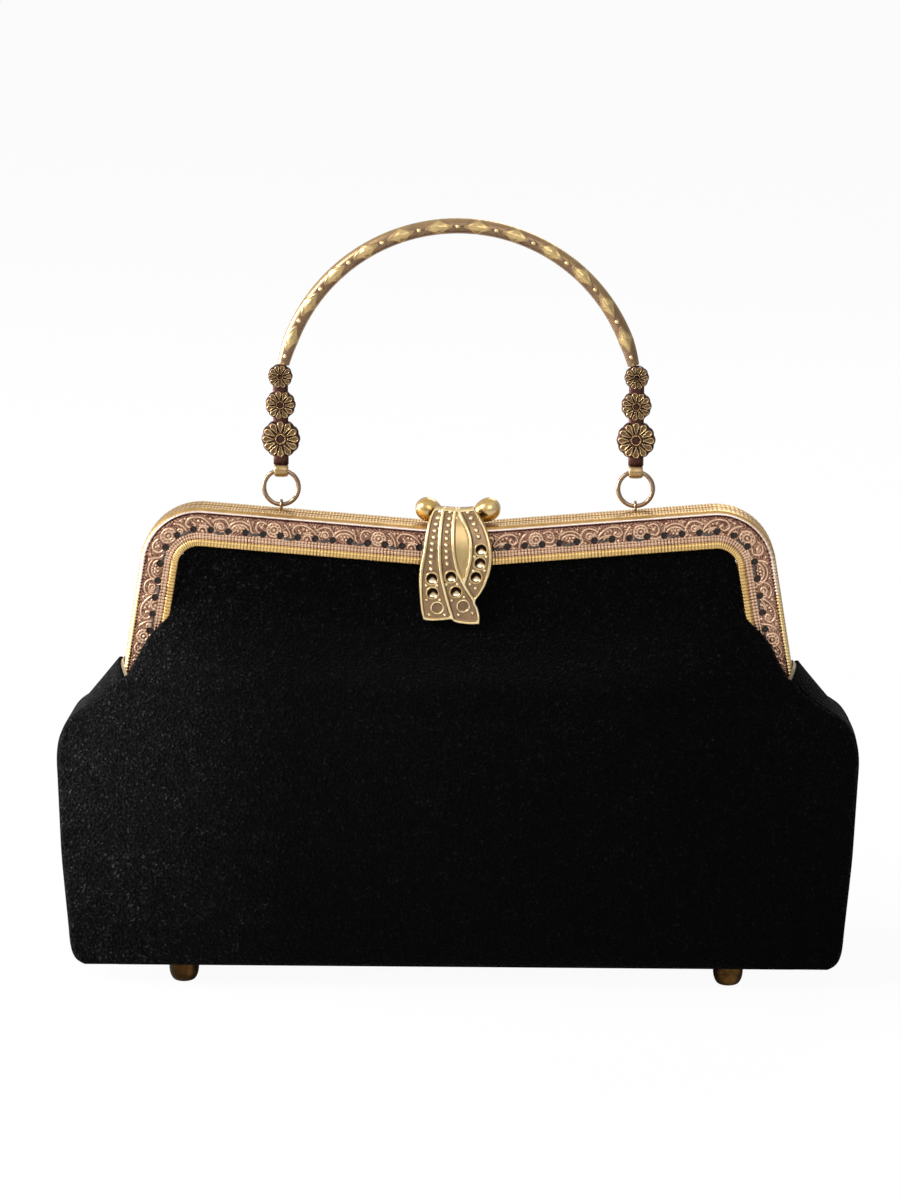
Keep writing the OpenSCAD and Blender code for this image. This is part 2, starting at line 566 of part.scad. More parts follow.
// One turn of the wall: across the front, round the side and back again
function lining_half(t, inset) = let(r = bag_row(t), y = r[2] - inset) concat(
    [for (i = [-6:6]) panel_pt(i / 6, t, inset)],
    [for (j = [-1:1]) [r[0] - inset, y * j / 2, r[1]]]);
function lining_ring(t, inset) = let(h = lining_half(t, inset))
    concat(h, [for (p = h) [-p[0], -p[1], p[2]]]);
module lining_body() color(satin) union() {
    lining_wall();
    translate([0, 0, lining_z]) linear_extrude(lining) rounded(floor_w - 12, floor_d - 8, base_corner);
}

// Feet: a bronze dome under the base, its post through cloth and board, a washer inside
washer_d = 9;
foot_x = base_w / 2 - foot_side;
foot_y = base_d / 2 - foot_in;
module foot_posts(d, z0, z1) for (x = [-1, 1], y = [-1, 1])
    translate([x * foot_x, y * foot_y, z0]) cylinder(h = z1 - z0, d = d, $fn = 24);
foot_top = base_z - cloth - play;
module foot(x, y) color(dark_bronze) translate([x * foot_x, y * foot_y, 0]) union() {
    rotate_extrude() polygon(concat([[0, 0], [foot_d * 0.28, 0]],
        [for (a = [10:10:80]) [foot_d * (0.28 + 0.22 * sin(a)), foot_top * 0.75 * (1 - cos(a))]],
        [[foot_d / 2, foot_top * 0.75], [foot_d / 2, foot_top], [0, foot_top]]));
    cylinder(h = board_z + board_t + washer_t + play, d = post_d, $fn = 24);
}
module foot_front_left() foot(-1, -1);
module foot_front_right() foot(1, -1);
module foot_back_left() foot(-1, 1);
module foot_back_right() foot(1, 1);
module foot_washers() color(dark_bronze) for (x = [-1, 1], y = [-1, 1])
    translate([x * foot_x, y * foot_y, board_z + board_t + play]) difference() {
        cylinder(h = washer_t, d = washer_d);
        translate([0, 0, -1]) cylinder(h = washer_t + 2, d = post_d + 2 * play, $fn = 24);
    }

front_frame();
back_frame();
hinge_rivet_left();
hinge_rivet_right();
scarf_plate();
front_lock_knob();
back_lock_knob();
handle_loop_left();
handle_loop_right();
ring_left();
ring_right();
handle_arch();
flower_end_left();
flower_end_right();
front_panel();
front_panel_top();
back_panel();
back_panel_top();
gusset_left();
gusset_right();
base_panel();
base_board();
lining_body();
front_lining_top();
back_lining_top();
foot_front_left();
foot_front_right();
foot_back_left();
foot_back_right();
foot_washers();
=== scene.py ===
import math
import bpy
import numpy as np
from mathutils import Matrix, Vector


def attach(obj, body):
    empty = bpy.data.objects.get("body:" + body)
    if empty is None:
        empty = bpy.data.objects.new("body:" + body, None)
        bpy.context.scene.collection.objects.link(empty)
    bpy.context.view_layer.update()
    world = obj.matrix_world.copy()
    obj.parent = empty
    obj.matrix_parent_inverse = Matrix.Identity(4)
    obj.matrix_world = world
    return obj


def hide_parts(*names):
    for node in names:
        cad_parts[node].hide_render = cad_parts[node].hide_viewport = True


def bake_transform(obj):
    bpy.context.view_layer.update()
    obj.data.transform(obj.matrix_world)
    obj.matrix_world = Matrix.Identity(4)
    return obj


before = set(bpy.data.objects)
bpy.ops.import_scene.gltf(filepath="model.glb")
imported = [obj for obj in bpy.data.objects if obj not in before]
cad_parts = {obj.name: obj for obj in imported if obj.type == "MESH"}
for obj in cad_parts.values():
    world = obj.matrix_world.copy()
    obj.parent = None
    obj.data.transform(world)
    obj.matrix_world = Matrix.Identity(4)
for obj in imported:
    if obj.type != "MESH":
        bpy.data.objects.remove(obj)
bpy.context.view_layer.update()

# Studio: a pale floor that runs out of sight, a white surround and soft lamps, the
# strongest of them low on the left, seen from a little above the bag.
def srgb(*c):
    """A colour as a screen shows it, from 0 to 255, turned into the light it stands for."""
    return tuple(((v / 255 + 0.055) / 1.055) ** 2.4 if v > 10 else v / 255 / 12.92 for v in c)

class Tap:
    """A socket of the finish that is being mixed; sums and products on it add Math nodes."""
    def __init__(self, tree, socket):
        self.tree, self.socket = tree, socket

    def node(self, kind, settings=(), links=(), out=0):
        n = self.tree.nodes.new("ShaderNode" + kind)
        for key, value in dict(settings).items():
            if key == "stops":
                while len(n.color_ramp.elements) < len(value):
                    n.color_ramp.elements.new(0.5)
                for e, (place, colour) in zip(n.color_ramp.elements, value):
                    e.position, e.color = place, (*colour, 1)
            else:
                setattr(n, key, value)
        for key, value in dict(links).items():
            if isinstance(value, Tap):
                self.tree.links.new(value.socket, n.inputs[key])
            else:
                n.inputs[key].default_value = value
        return Tap(self.tree, n.outputs[out])

    def math(self, op, a, b, clamp=False):
        return self.node("Math", {"operation": op, "use_clamp": clamp}, {0: a, 1: b})

    def __add__(self, o): return self.math("ADD", self, o)
    def __radd__(self, o): return self.math("ADD", o, self)
    def __sub__(self, o): return self.math("SUBTRACT", self, o)
    def __rsub__(self, o): return self.math("SUBTRACT", o, self)
    def __mul__(self, o): return self.math("MULTIPLY", self, o)
    def __rmul__(self, o): return self.math("MULTIPLY", o, self)

    def ramp(self, *stops):
        return self.node("ValToRGB", {"stops": stops}, {0: self})

    def steps(self, low, high):
        return self.node("MapRange", {"interpolation_type": "SMOOTHSTEP"}, {0: self, 1: low, 2: high})

    def mix(self, a, b):
        a, b = ((*v, 1) if isinstance(v, tuple) else v for v in (a, b))
        return self.node("Mix", {"data_type": "RGBA"}, {0: self, 6: a, 7: b}, 2)

    def noise(self, scale, detail, rough=0.5, warp=None):
        at = warp or self.node("TexCoord", (), (), 3)
        return self.node("TexNoise", (), {"Vector": at, "Scale": scale, "Detail": detail, "Roughness": rough})

    def attribute(self, name):
        return self.node("Attribute", {"attribute_name": name}, (), 2)

def finish(name, **fixed):
    """A new material: its Principled node, with what is the same all over set on it, and a Tap."""
    mat = bpy.data.materials.new(name)
    mat.use_nodes = True
    shader = mat.node_tree.nodes["Principled BSDF"]
    for key, value in fixed.items():
        shader.inputs[key.replace("_", " ")].default_value = value
    return mat, shader, Tap(mat.node_tree, None)

def feed(shader, **taps):
    """Link what varies over the surface into the Principled node."""
    for key, tap in taps.items():
        tap.tree.links.new(tap.socket, shader.inputs[key.replace("_", " ")])

def bump(tap, height, strength, distance):
    return tap.node("Bump", (), {"Strength": strength, "Distance": distance, "Height": height})

eye = bpy.data.cameras.new("eye")
eye.lens, eye.sensor_fit, eye.sensor_width, eye.sensor_height = 108.9, "VERTICAL", 27, 36
eye_at = bpy.data.objects.new("eye", eye)
target, tilt, aside = Vector((-0.0024, 0, 0.1115)), math.radians(12), math.radians(1.5)
STAND_OFF = 1.1         # metres from the eye to the bag
away = Vector((math.sin(aside) * math.cos(tilt), -math.cos(aside) * math.cos(tilt), math.sin(tilt)))
eye_at.location = target + STAND_OFF * away
eye_at.rotation_euler = (-away).to_track_quat("-Z", "Y").to_euler()
eye.clip_start, eye.clip_end = 0.01, 60
bpy.context.collection.objects.link(eye_at)
bpy.context.scene.camera = eye_at
bpy.context.scene.view_settings.view_transform = "Standard"

def lamp(name, at, size, power):
    """A round soft lamp of a width in metres and a power in watts, aimed at the bag."""
    light = bpy.data.lights.new(name, "AREA")
    light.shape, light.size, light.energy = "DISK", size, power
    o = bpy.data.objects.new(name, light)
    o.location = at
    o.rotation_euler = (Vector((0, 0, 0.1)) - Vector(at)).to_track_quat("-Z", "Y").to_euler()
    bpy.context.collection.objects.link(o)

lamp("key", (-1.1, -0.5, 1.0), 0.4, 13)
lamp("side", (-2.6, 0.2, 0.55), 1.0, 165)
lamp("fill", (0.3, -1.3, 0.9), 0.9, 4)
lamp("rear", (0.3, 1.1, 0.9), 0.6, 4)

sky = bpy.data.worlds.new("surround")
sky.use_nodes = True
bpy.context.scene.world = sky
s = Tap(sky.node_tree, None)
camera, glossy, through = [s.node("LightPath", (), (), i) for i in (0, 3, 6)]
way = s.node("TexCoord", (), (), 0)
to_x, to_z = [s.node("SeparateXYZ", (), {0: way}, i) for i in (0, 2)]
# polished metal sees a surround that is white above and on the left, and greyer elsewhere
shown = s.math("ADD", 0.62 - 0.22 * to_x, 0.35 * to_z, clamp=True)
back = sky.node_tree.nodes["Background"]
back.inputs["Color"].default_value = (1, 1, 1, 1)
DIM = 0.18              # how much of the white surround lights the bag
strength = s.math("MAXIMUM", camera, DIM + s.math("MAXIMUM", glossy, through) * (shown - DIM))
sky.node_tree.links.new(strength.socket, back.inputs["Strength"])

def built(name, points, faces, mat, body=None, mm=0.001, **values):
    """A mesh of points in millimetres. values are numbers stored on its points for the finish."""
    me = bpy.data.meshes.new(name)
    pts = np.asarray(points, float).reshape(-1, 3) * mm
    me.from_pydata(pts.tolist(), [], [list(map(int, f)) for f in faces])
    me.materials.append(mat)
    me.polygons.foreach_set("use_smooth", [True] * len(me.polygons))
    for key, value in values.items():
        at = me.attributes.new(key, "FLOAT", "POINT")
        at.data.foreach_set("value", np.asarray(value, np.float32).ravel())
    o = bpy.data.objects.new(name, me)
    bpy.context.collection.objects.link(o)
    if body:
        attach(o, body)
    return o

def hoops(rows, seg, closed=False):
    """Faces between neighbouring rings of seg points each."""
    return [[k * seg + i, k * seg + (i + 1) % seg, (k + 1) % rows * seg + (i + 1) % seg, (k + 1) % rows * seg + i]
            for k in range(rows if closed else rows - 1) for i in range(seg)]

floor_mat, shader, s = finish("pale_floor", Roughness=0.9)
feed(shader, Base_Color=s.noise(30, 3).ramp((0.3, (0.86, 0.86, 0.86)), (0.7, (0.9, 0.9, 0.9))))
glow = s.node("Emission", (), {0: (1, 1, 1, 1), 1: 1.0})
# the eye sees the floor washed out to white, with a trace of the shadows left in it
white = s.node("MixShader", (), {0: s.node("LightPath") * 0.95, 1: Tap(s.tree, shader.outputs[0]), 2: glow})
s.tree.links.new(white.socket, s.tree.nodes["Material Output"].inputs[0])
FLOOR_RADII, FLOOR_SEG = (0.02, 0.2, 1, 14), 96
a = np.linspace(0, 2 * np.pi, FLOOR_SEG, endpoint=False)
discs = np.concatenate([np.stack([r * np.cos(a), r * np.sin(a), 0 * a - 0.0002], 1) for r in FLOOR_RADII])
faces = hoops(len(FLOOR_RADII), FLOOR_SEG) + [list(range(FLOOR_SEG))]
floor = built("floor", discs, faces, floor_mat, mm=1)

# Frame halves: each is one strip of brass, pressed into a channel with a rounded
# edge, embossed with scrolls and flowers, and bent round both corners. A beaded
# line and a fluted roll run along its inner edge, and a roped line down its legs.
FACE, SHEET, EDGE_R, BAND = 7.0, 0.8, 1.5, 11.5         # half's depth, metal, rounded edge, height of the face
HINGE_Z, DIP_R, CORNER_R = 89.5, 150.0, 18.0
LEAN, DIP = math.radians(9.5), math.radians(4.6)        # of the legs, and of the bar towards its middle
CORNER_X, CORNER_Z, DIP_Z, LEG_L, BAR_L = 77.711, 122.594, 284.885, 36.565, 64.45
HOLE_IN, PITCH, SHIFT = 6.3, 5.25, 1.9                  # sewing holes: from the edge, apart, off the middle
RIM_IN, ROLL_IN = 7.35, 9.2                             # where the fluted rim starts, and its gilt roll
DIP_L = (DIP_R + HOLE_IN) * DIP
TURN = math.pi / 2 + DIP - LEAN
CORNER_L = (CORNER_R - HOLE_IN) * TURN
HALF_L = DIP_L + BAR_L + CORNER_L + LEG_L

def along(s):
    """Outer edge of the frame at a length s from its middle, and the direction inwards."""
    k, sign = np.abs(s), np.where(np.asarray(s) < 0, -1.0, 1.0)
    turn = np.where(k < DIP_L, k / (DIP_R + HOLE_IN),
        np.where(k < DIP_L + BAR_L, DIP, DIP - np.clip(k - DIP_L - BAR_L, 0, CORNER_L) / (CORNER_R - HOLE_IN)))
    run, leg = np.clip(k - DIP_L, 0, BAR_L), np.clip(k - DIP_L - BAR_L - CORNER_L, 0, None)
    on_dip = k < DIP_L + BAR_L
    x = np.where(on_dip, DIP_R * np.sin(turn) + run * np.cos(DIP),
        CORNER_X - CORNER_R * np.sin(turn) + leg * np.sin(LEAN))
    z = np.where(on_dip, DIP_Z - DIP_R * np.cos(turn) + run * np.sin(DIP),
        CORNER_Z + CORNER_R * np.cos(turn) - leg * np.cos(LEAN))
    return np.stack([sign * x, z], -1), np.stack([sign * np.sin(turn), -np.cos(turn)], -1)

def at_frame(s, u):
    """Points at lengths s along the frame and depths u in from its edge."""
    p, n = along(s)
    return p + n * np.asarray(u)[..., None]

def stroke(points, n=14):
    """Points along a smooth line through a few marks."""
    p = np.asarray(points, float)
    p = np.concatenate([[2 * p[0] - p[1]], p, [2 * p[-1] - p[-2]]])
    t = np.linspace(0, len(p) - 3, (len(p) - 3) * n + 1)
    i = np.minimum(t.astype(int), len(p) - 4)
    f = (t - i)[:, None]
    b, c, d, e = p[i], p[i + 1], p[i + 2], p[i + 3]
    return 0.5 * (2 * c + (d - b) * f + (2 * b - 5 * c + 4 * d - e) * f ** 2 + (3 * c - b - 3 * d + e) * f ** 3)

def curl(c, r, a0, a1, r1=None):
    """An arc or spiral about c from angle a0 to a1, whose radius goes from r to r1."""
    t = np.linspace(0, 1, 12)
    a, k = np.radians(a0 + (a1 - a0) * t), r + ((r1 or r) - r) * t
    return np.stack([c[0] + k * np.cos(a), c[1] - k * np.sin(a)], 1)

def distance(grid, line):
    """Distance of grid points (n, 2) from a line of points."""
    a, b = line[:-1], line[1:]
    ab = b - a
    t = np.clip(((grid[:, None] - a) * ab).sum(-1) / np.maximum((ab ** 2).sum(-1), 1e-9), 0, 1)
    return np.sqrt((((grid[:, None] - a) - t[..., None] * ab) ** 2).sum(-1).min(1))

# Three tiles of the ornament, each with its lines and its dots as (place, depth, radius):
# places are along the frame, and depths inwards from its edge
MOTIFS = [
    ([curl((2.5, 6.8), 3.9, 4, 176), curl((2.5, 6.8), 2.9, 20, 160), curl((8.3, 5.0), 1.3, -20, 400, 0.5),
      stroke([(5.3, 7.2), (5.6, 5.0), (6.9, 3.0), (8.6, 2.6), (10.3, 3.2)]),
      stroke([(9.9, 4.2), (10.4, 5.4), (9.9, 6.6)])],
     [(2.5, 5.0, 0.45)]
     + [(2.5 + 1.05 * math.cos(k), 5.0 + 1.05 * math.sin(k), 0.42) for k in np.arange(6) * math.pi / 3]
     + [(5.9, 6.6, 0.4), (4.9, 2.6, 0.35), (0.2, 2.7, 0.35), (8.3, 5.0, 0.4), (7.0, 6.9, 0.4)]),
    ([stroke([(-0.2, 6.2), (1.4, 4.2), (3.9, 2.7), (6.6, 2.8), (7.7, 4.4), (6.6, 5.7), (5.3, 5.0), (5.9, 4.1)]),
      stroke([(0.4, 6.2), (2.2, 5.2), (4.2, 5.0)]), stroke([(8.0, 6.9), (8.5, 5.0), (9.6, 3.4), (10.6, 2.7)]),
      curl((9.9, 5.8), 0.9, 60, 380, 0.5), curl((3.2, 6.7), 1.2, 0, 180)],
     [(3.4, 3.9, 0.38), (4.4, 3.7, 0.38), (2.5, 4.6, 0.32), (8.6, 2.7, 0.4), (7.6, 2.5, 0.3), (9.9, 5.8, 0.35),
      (6.4, 6.9, 0.4), (1.1, 2.8, 0.4), (0.2, 3.6, 0.4), (3.2, 6.8, 0.45)]),
    ([curl((2.8, 4.7), 2.1, 0, 360), curl((2.8, 4.7), 1.2, 0, 360),
      stroke([(5.2, 3.0), (6.6, 2.5), (7.9, 3.2), (8.2, 4.7), (7.3, 5.9), (5.9, 5.6)]),
      stroke([(5.6, 6.9), (7.6, 7.0), (9.3, 6.0), (9.9, 4.2), (10.4, 2.9)])],
     [(2.8 + 1.65 * math.cos(k), 4.7 + 1.65 * math.sin(k), 0.28) for k in np.arange(10) * math.pi / 5]
     + [(2.8, 4.7, 0.5), (6.6, 4.2, 0.5), (6.2, 3.4, 0.3), (7.2, 3.6, 0.3), (9.2, 2.8, 0.35), (0.2, 6.6, 0.4),
        (8.7, 7.0, 0.3)]),
]

def ornament(s, u):
    """Height of the pressed pattern, from 0 to 1, at lengths s and depths u."""
    # a fine wandering line fills the ground between the scrolls
    w = 2.5 * np.abs(s) + 1.7 * np.sin(1.9 * u + 0.9 * s) + 1.2 * np.sin(2.7 * u - 1.3 * s)
    h = 0.72 * np.exp(-(np.sin(w) / 0.55) ** 2) * np.clip((u - 1.6) / 0.2, 0, 1) * np.clip((7.4 - u) / 0.2, 0, 1)
    cell = np.floor(np.abs(s) / (2 * PITCH)).astype(int)
    place = np.abs(s) - cell * 2 * PITCH
    inside = (u > 1.9) & (u < 7.3)
    for m, (lines, dots) in enumerate(MOTIFS):
        pick = inside & (cell % 3 == m)
        g = np.stack([place[pick], u[pick]], 1)
        near = np.full(len(g), 9.0)
        for line in lines:
            near = np.minimum(near, distance(g, line))
        k = np.exp(-(near / 0.27) ** 2)
        for x, z, r in dots:
            k = np.maximum(k, np.sqrt(np.clip(1 - ((g[:, 0] - x) ** 2 + (g[:, 1] - z) ** 2) / r ** 2, 0, 1)))
        h[pick] = np.maximum(k, h[pick] * np.clip((near - 0.35) / 0.2, 0, 1))
    return h

def rope(s, u):
    """A line of small beads beside the outer edge."""
    f = np.abs(s) % 1 - 0.5
    return np.sqrt(np.clip(1 - (f * 2) ** 2 * 0.9 - ((u - 1.0) / 0.75) ** 2, 0, 1))

# places of the sewing holes along the frame, up to a little above the feet of the legs
holes = np.arange(-30, 30) * PITCH + PITCH / 2 + SHIFT
holes = holes[np.abs(holes) < HALF_L - 9]

def relief(s, u):
    """Height of the face in mm, how bright it is with wear from 0 to 1, and where the holes are."""
    leg = np.clip((np.abs(s) - DIP_L - BAR_L - CORNER_L * 0.5) / 9, 0, 1)
    ridge = np.exp(-(np.abs(u - 0.95) / 0.3) ** 3)
    line = (1 - leg) * ridge + leg * rope(s, u)
    grooves = np.exp(-((u - 1.65) / 0.2) ** 2) + np.exp(-((u - 8.1) / 0.13) ** 2) + np.exp(-((u - ROLL_IN) / 0.13) ** 2)
    pattern = ornament(s, u)
    flute = np.sqrt(np.abs(np.sin(np.pi * s))) * (u > RIM_IN)
    roll = np.sqrt(np.clip(1 - ((u - BAND + 1.0) / 1.15) ** 2, 0, 1))
    h = 0.4 * pattern + 0.4 * line - 0.25 * grooves + flute * (0.28 * (u < ROLL_IN) + 0.22 * roll) + 0.45 * roll
    wear_and_painted_light = 0.2 + 0.62 * pattern + 0.95 * line - 0.22 * grooves + 0.3 * (u < 0.6) + (u > RIM_IN) * (0.72 * flute - 0.14)
    d = np.abs(s[..., None] - holes).min(-1)
    gap = np.sqrt(d ** 2 + (u - HOLE_IN) ** 2)
    pit = np.clip((0.98 - gap) / 0.16, 0, 1)
    keep = 1 - np.clip((1.15 - gap) / 0.2, 0, 1)
    wear_and_painted_light = wear_and_painted_light * keep + (1 - keep) * 0.3
    return h * keep - 0.65 * pit, np.clip(wear_and_painted_light, 0, 1), pit

brass, shader, s = finish("antique_brass")
high = s.attribute("relief")
grime = s.noise(320, 4, 0.6)
warm = s.noise(28, 3)
level = high + (grime - 0.5) * 0.3
rosy = level.ramp((0.0, srgb(62, 34, 36)), (0.25, srgb(118, 82, 70)), (0.5, srgb(182, 142, 116)),
    (0.75, srgb(218, 184, 152)), (1.0, srgb(250, 232, 222)))
golden = level.ramp((0.0, srgb(70, 42, 26)), (0.3, srgb(142, 104, 58)), (0.6, srgb(206, 166, 100)),
    (1.0, srgb(244, 220, 160)))
gilt = (s.attribute("gilt") + (warm - 0.5) * 0.8).steps(0.1, 0.9)
pit = s.attribute("pit")
feed(shader, Base_Color=pit.mix(gilt.mix(rosy, golden), srgb(8, 7, 8)), Metallic=1.0 - pit,
    Roughness=0.5 - 0.24 * high + 0.12 * (grime - 0.5), Normal=bump(s, s.noise(900, 4, 0.65), 0.25, 0.0001))

def ears(x):
    """Round eyes at the feet of both legs, as closed discs about the hinge line."""
    seg, rows = 48, ((x, 1.6), (x, 3.7), (x + 0.3, 4.0), (x + 0.7, 4.0), (x + 1.0, 3.7), (x + 1.0, 1.6))
    a = np.linspace(0, 2 * np.pi, seg, endpoint=False)
    pts, faces = [], []
    for sign in (-1, 1):
        faces += [[len(pts) * seg + v for v in q][::sign] for q in hoops(len(rows), seg, True)]
        pts += [np.stack([sign * (x_at + 0 * a), r * np.cos(a), HINGE_Z + r * np.sin(a)], 1) for x_at, r in rows]
    return np.concatenate(pts), faces

def frame_half(name, body, node, side, ear_x):
    """One half: its section is swept along the frame and raised by the relief."""
    step = PITCH / 26
    n = int(HALF_L / step)
    s = np.concatenate([[-HALF_L], np.arange(-n, n + 1) * step, [HALF_L]])
    arc, flat = np.radians(np.linspace(180, 90, 15)), np.arange(EDGE_R + 0.15, BAND, 0.17)
    outer_u = np.concatenate([[SHEET, 0.1, 0, 0, 0, 0, 0, 0], EDGE_R + EDGE_R * np.cos(arc), flat, [BAND]])
    outer_y = np.concatenate([[0.3, 0.3, 0.45, 1.2, 2.2, 3.1, 4.0, 4.9], FACE - EDGE_R + EDGE_R * np.sin(arc),
        np.full(len(flat), FACE), [FACE - 0.1]])
    inner_u = np.array([BAND, BAND - 0.4, 5.0, EDGE_R, SHEET + 0.3, SHEET])
    inside = FACE - SHEET
    inner_y = np.array([inside, inside - 0.1, inside, inside, FACE - EDGE_R + 0.6, FACE - EDGE_R - 0.4])
    u, y = np.concatenate([outer_u, inner_u]), np.concatenate([outer_y, inner_y])
    m, outer = len(u), len(outer_u)
    S, U = np.meshgrid(s, u, indexing="ij")
    h, wear_and_painted_light, pit = relief(S, U)
    row = np.arange(m)
    face_rows = (row >= 8) & (row < outer)          # the first 8 rows are the flange over the top
    h, pit = h * face_rows, pit * face_rows
    # fine ribs across the top of the channel, on either side of the seam
    top = (row > 2) & (row < 8)
    ribs = 0.16 * np.abs(np.sin(np.pi * S / 0.95)) * top * (row != 5)
    wear_and_painted_light = np.where(face_rows, wear_and_painted_light, np.where(top, 0.28 + 3.2 * ribs, 0.3))
    gilt = np.clip((U - ROLL_IN) / 0.3, 0, 1) + (U < 0.6) + (np.abs(S) > HALF_L - 26) * (U < 1.6)
    gilt = np.where(face_rows, gilt, 1.0)
    P, N = along(s)
    slope = np.clip((EDGE_R - U) / EDGE_R, 0, 1)
    U2, Y2 = U - (h * slope ** 2 + ribs), y + h * np.sqrt(1 - slope ** 4)
    foot = np.clip((P[:, 1] + N[:, 1] * 5 - HINGE_Z - 4.6) / 0.4, 0, 1)[:, None]
    Y2 = np.maximum(Y2, (1 - foot) * 4.7)
    x = P[:, None, 0] + N[:, None, 0] * U2
    z = P[:, None, 1] + N[:, None, 1] * U2
    pts = np.stack([x * -side, Y2 * side, z], -1).reshape(-1, 3)
    faces = hoops(len(s), m) + [list(range(m))[::-1], [(len(s) - 1) * m + q for q in range(m)]]
    ear_pts, ear_faces = ears(ear_x)
    faces += [[v + len(pts) for v in f] for f in ear_faces]
    more = len(ear_pts)
    o = built(name, np.concatenate([pts, ear_pts]), faces, brass, body,
        relief=np.concatenate([wear_and_painted_light.ravel(), np.full(more, 0.3)]),
        gilt=np.concatenate([gilt.ravel(), np.ones(more)]), pit=np.concatenate([pit.ravel(), np.zeros(more)]))
    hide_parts(node)

frame_half("front_frame_embossed", "front_half", "front_frame", -1, 100.5)
frame_half("back_frame_embossed", "back_half", "back_frame", 1, 99.2)

# Sewing thread: black waxed cord that passes through the holes, so that it lies
# on the face between every other pair of holes.
thread, shader, s = finish("waxed_thread", Roughness=0.6)
ply = s.noise(2500, 2)
feed(shader, Base_Color=ply.ramp((0.35, srgb(44, 38, 36)), (0.7, srgb(100, 92, 88))), Normal=bump(s, ply, 0.5, 0.0001))

def tube(path, radius, sides=10, closed=False):
    """Points and faces of a round tube along a path, with closed ends."""
    p = np.asarray(path, float)
    t = np.roll(p, -1, 0) - np.roll(p, 1, 0) if closed else np.gradient(p, axis=0)
    t /= np.linalg.norm(t, axis=1)[:, None]
    side = np.cross(t, [0.31, 0.9, 0.28])
    side /= np.linalg.norm(side, axis=1)[:, None]
    up = np.cross(side, t)
    a = np.linspace(0, 2 * np.pi, sides, endpoint=False)
    round_ = np.cos(a)[None, :, None] * side[:, None] + np.sin(a)[None, :, None] * up[:, None]
    pts = p[:, None] + radius * round_
    n = len(p)
    faces = hoops(n, sides, closed)
    if not closed:
        faces += [list(range(sides))[::-1], [(n - 1) * sides + j for j in range(sides)]]
    return pts.reshape(-1, 3), faces

def together(parts):
    """Several (points, faces) pairs as one."""
    pts, faces, n = [], [], 0
    for p, f in parts:
        pts.append(p)
        faces += [[v + n for v in q] for q in f]
        n += len(p)
    return np.concatenate(pts), faces

for side, body, name in ((-1, "front_half", "front_thread"), (1, "back_half", "back_thread")):
    parts = []
    for k in range(1, len(holes) - 1, 2):
        t = np.linspace(0, 1, 13)
        sag = 0.25 + (0.3 + 0.25 * math.sin(k * 5)) * np.sin(np.pi * t)
        xz = at_frame(holes[k] + PITCH * t, HOLE_IN + sag)
        y = FACE + 0.3 - 1.9 * np.exp(-(np.minimum(t, 1 - t) / 0.16) ** 2)
        parts.append(tube(np.stack([xz[:, 0] * -side, y * side, xz[:, 1]], 1), 0.36))
    built(name, *together(parts), thread, body)

# Hinge rivets: one plain brass rivet at the foot of each leg, put through the eyes of
# both halves and domed over at either end, so that the halves turn on it.
def turned(profile, seg=48):
    """Surface turned about the Z axis from (radius, height) pairs; ends on the axis are closed."""
    a = np.linspace(0, 2 * np.pi, seg, endpoint=False)
    pts = np.concatenate([np.stack([r * np.cos(a), r * np.sin(a), h + 0 * a], 1) for r, h in profile])
    faces = hoops(len(profile), seg)
    faces += [list(range(seg))[::-1], [(len(profile) - 1) * seg + i for i in range(seg)]]
    return pts, faces

def smooth_metal(name, dark, mid, light, rough=0.24, scale=60):
    """A polished or drawn metal, clouded with use and darker in its hollows."""
    mat, shader, s = finish(name, Metallic=1.0)
    cloud = s.noise(scale, 4, 0.6)
    wear = s.node("NewGeometry", (), (), 7).steps(0.46, 0.56)
    body = cloud.ramp((0.3, dark), (0.5, mid), (0.72, light))
    feed(shader, Base_Color=wear.mix(cloud.mix(dark, mid), body), Roughness=rough + 0.16 * cloud,
        Normal=bump(s, s.noise(scale * 14, 4, 0.6), 0.12, 0.0001))
    return mat

HEAD_IN, HEAD_OUT = 99.1, 101.57         # where the two heads of a rivet lie against the eyes
rivet_brass = smooth_metal("rivet_brass", srgb(120, 88, 62), srgb(176, 138, 104), srgb(214, 182, 140))
dome = [(2.6 * math.cos(a), 0.8 * math.sin(a)) for a in np.radians(np.linspace(0, 88, 9))]
for sign, name in ((-1, "left"), (1, "right")):
    parts = []
    for x, out in ((HEAD_IN, -1), (HEAD_OUT, 1)):
        p, f = turned([(2.4, -0.02), (2.6, 0.0)] + dome[1:])
        q = np.stack([sign * (x + out * p[:, 2]), p[:, 0], HINGE_Z + p[:, 1]], 1)
        parts.append((q, [g[::-1] for g in f] if sign * out < 0 else f))
    shank, f = turned([(1.5, -2.4), (1.5, 0.0)])
    parts.append((np.stack([sign * (101.5 + shank[:, 2]), shank[:, 0], HINGE_Z + shank[:, 1]], 1), f))
    o = built("rivet_" + name, *together(parts), rivet_brass, "back_half")
    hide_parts("hinge_rivet_" + name)

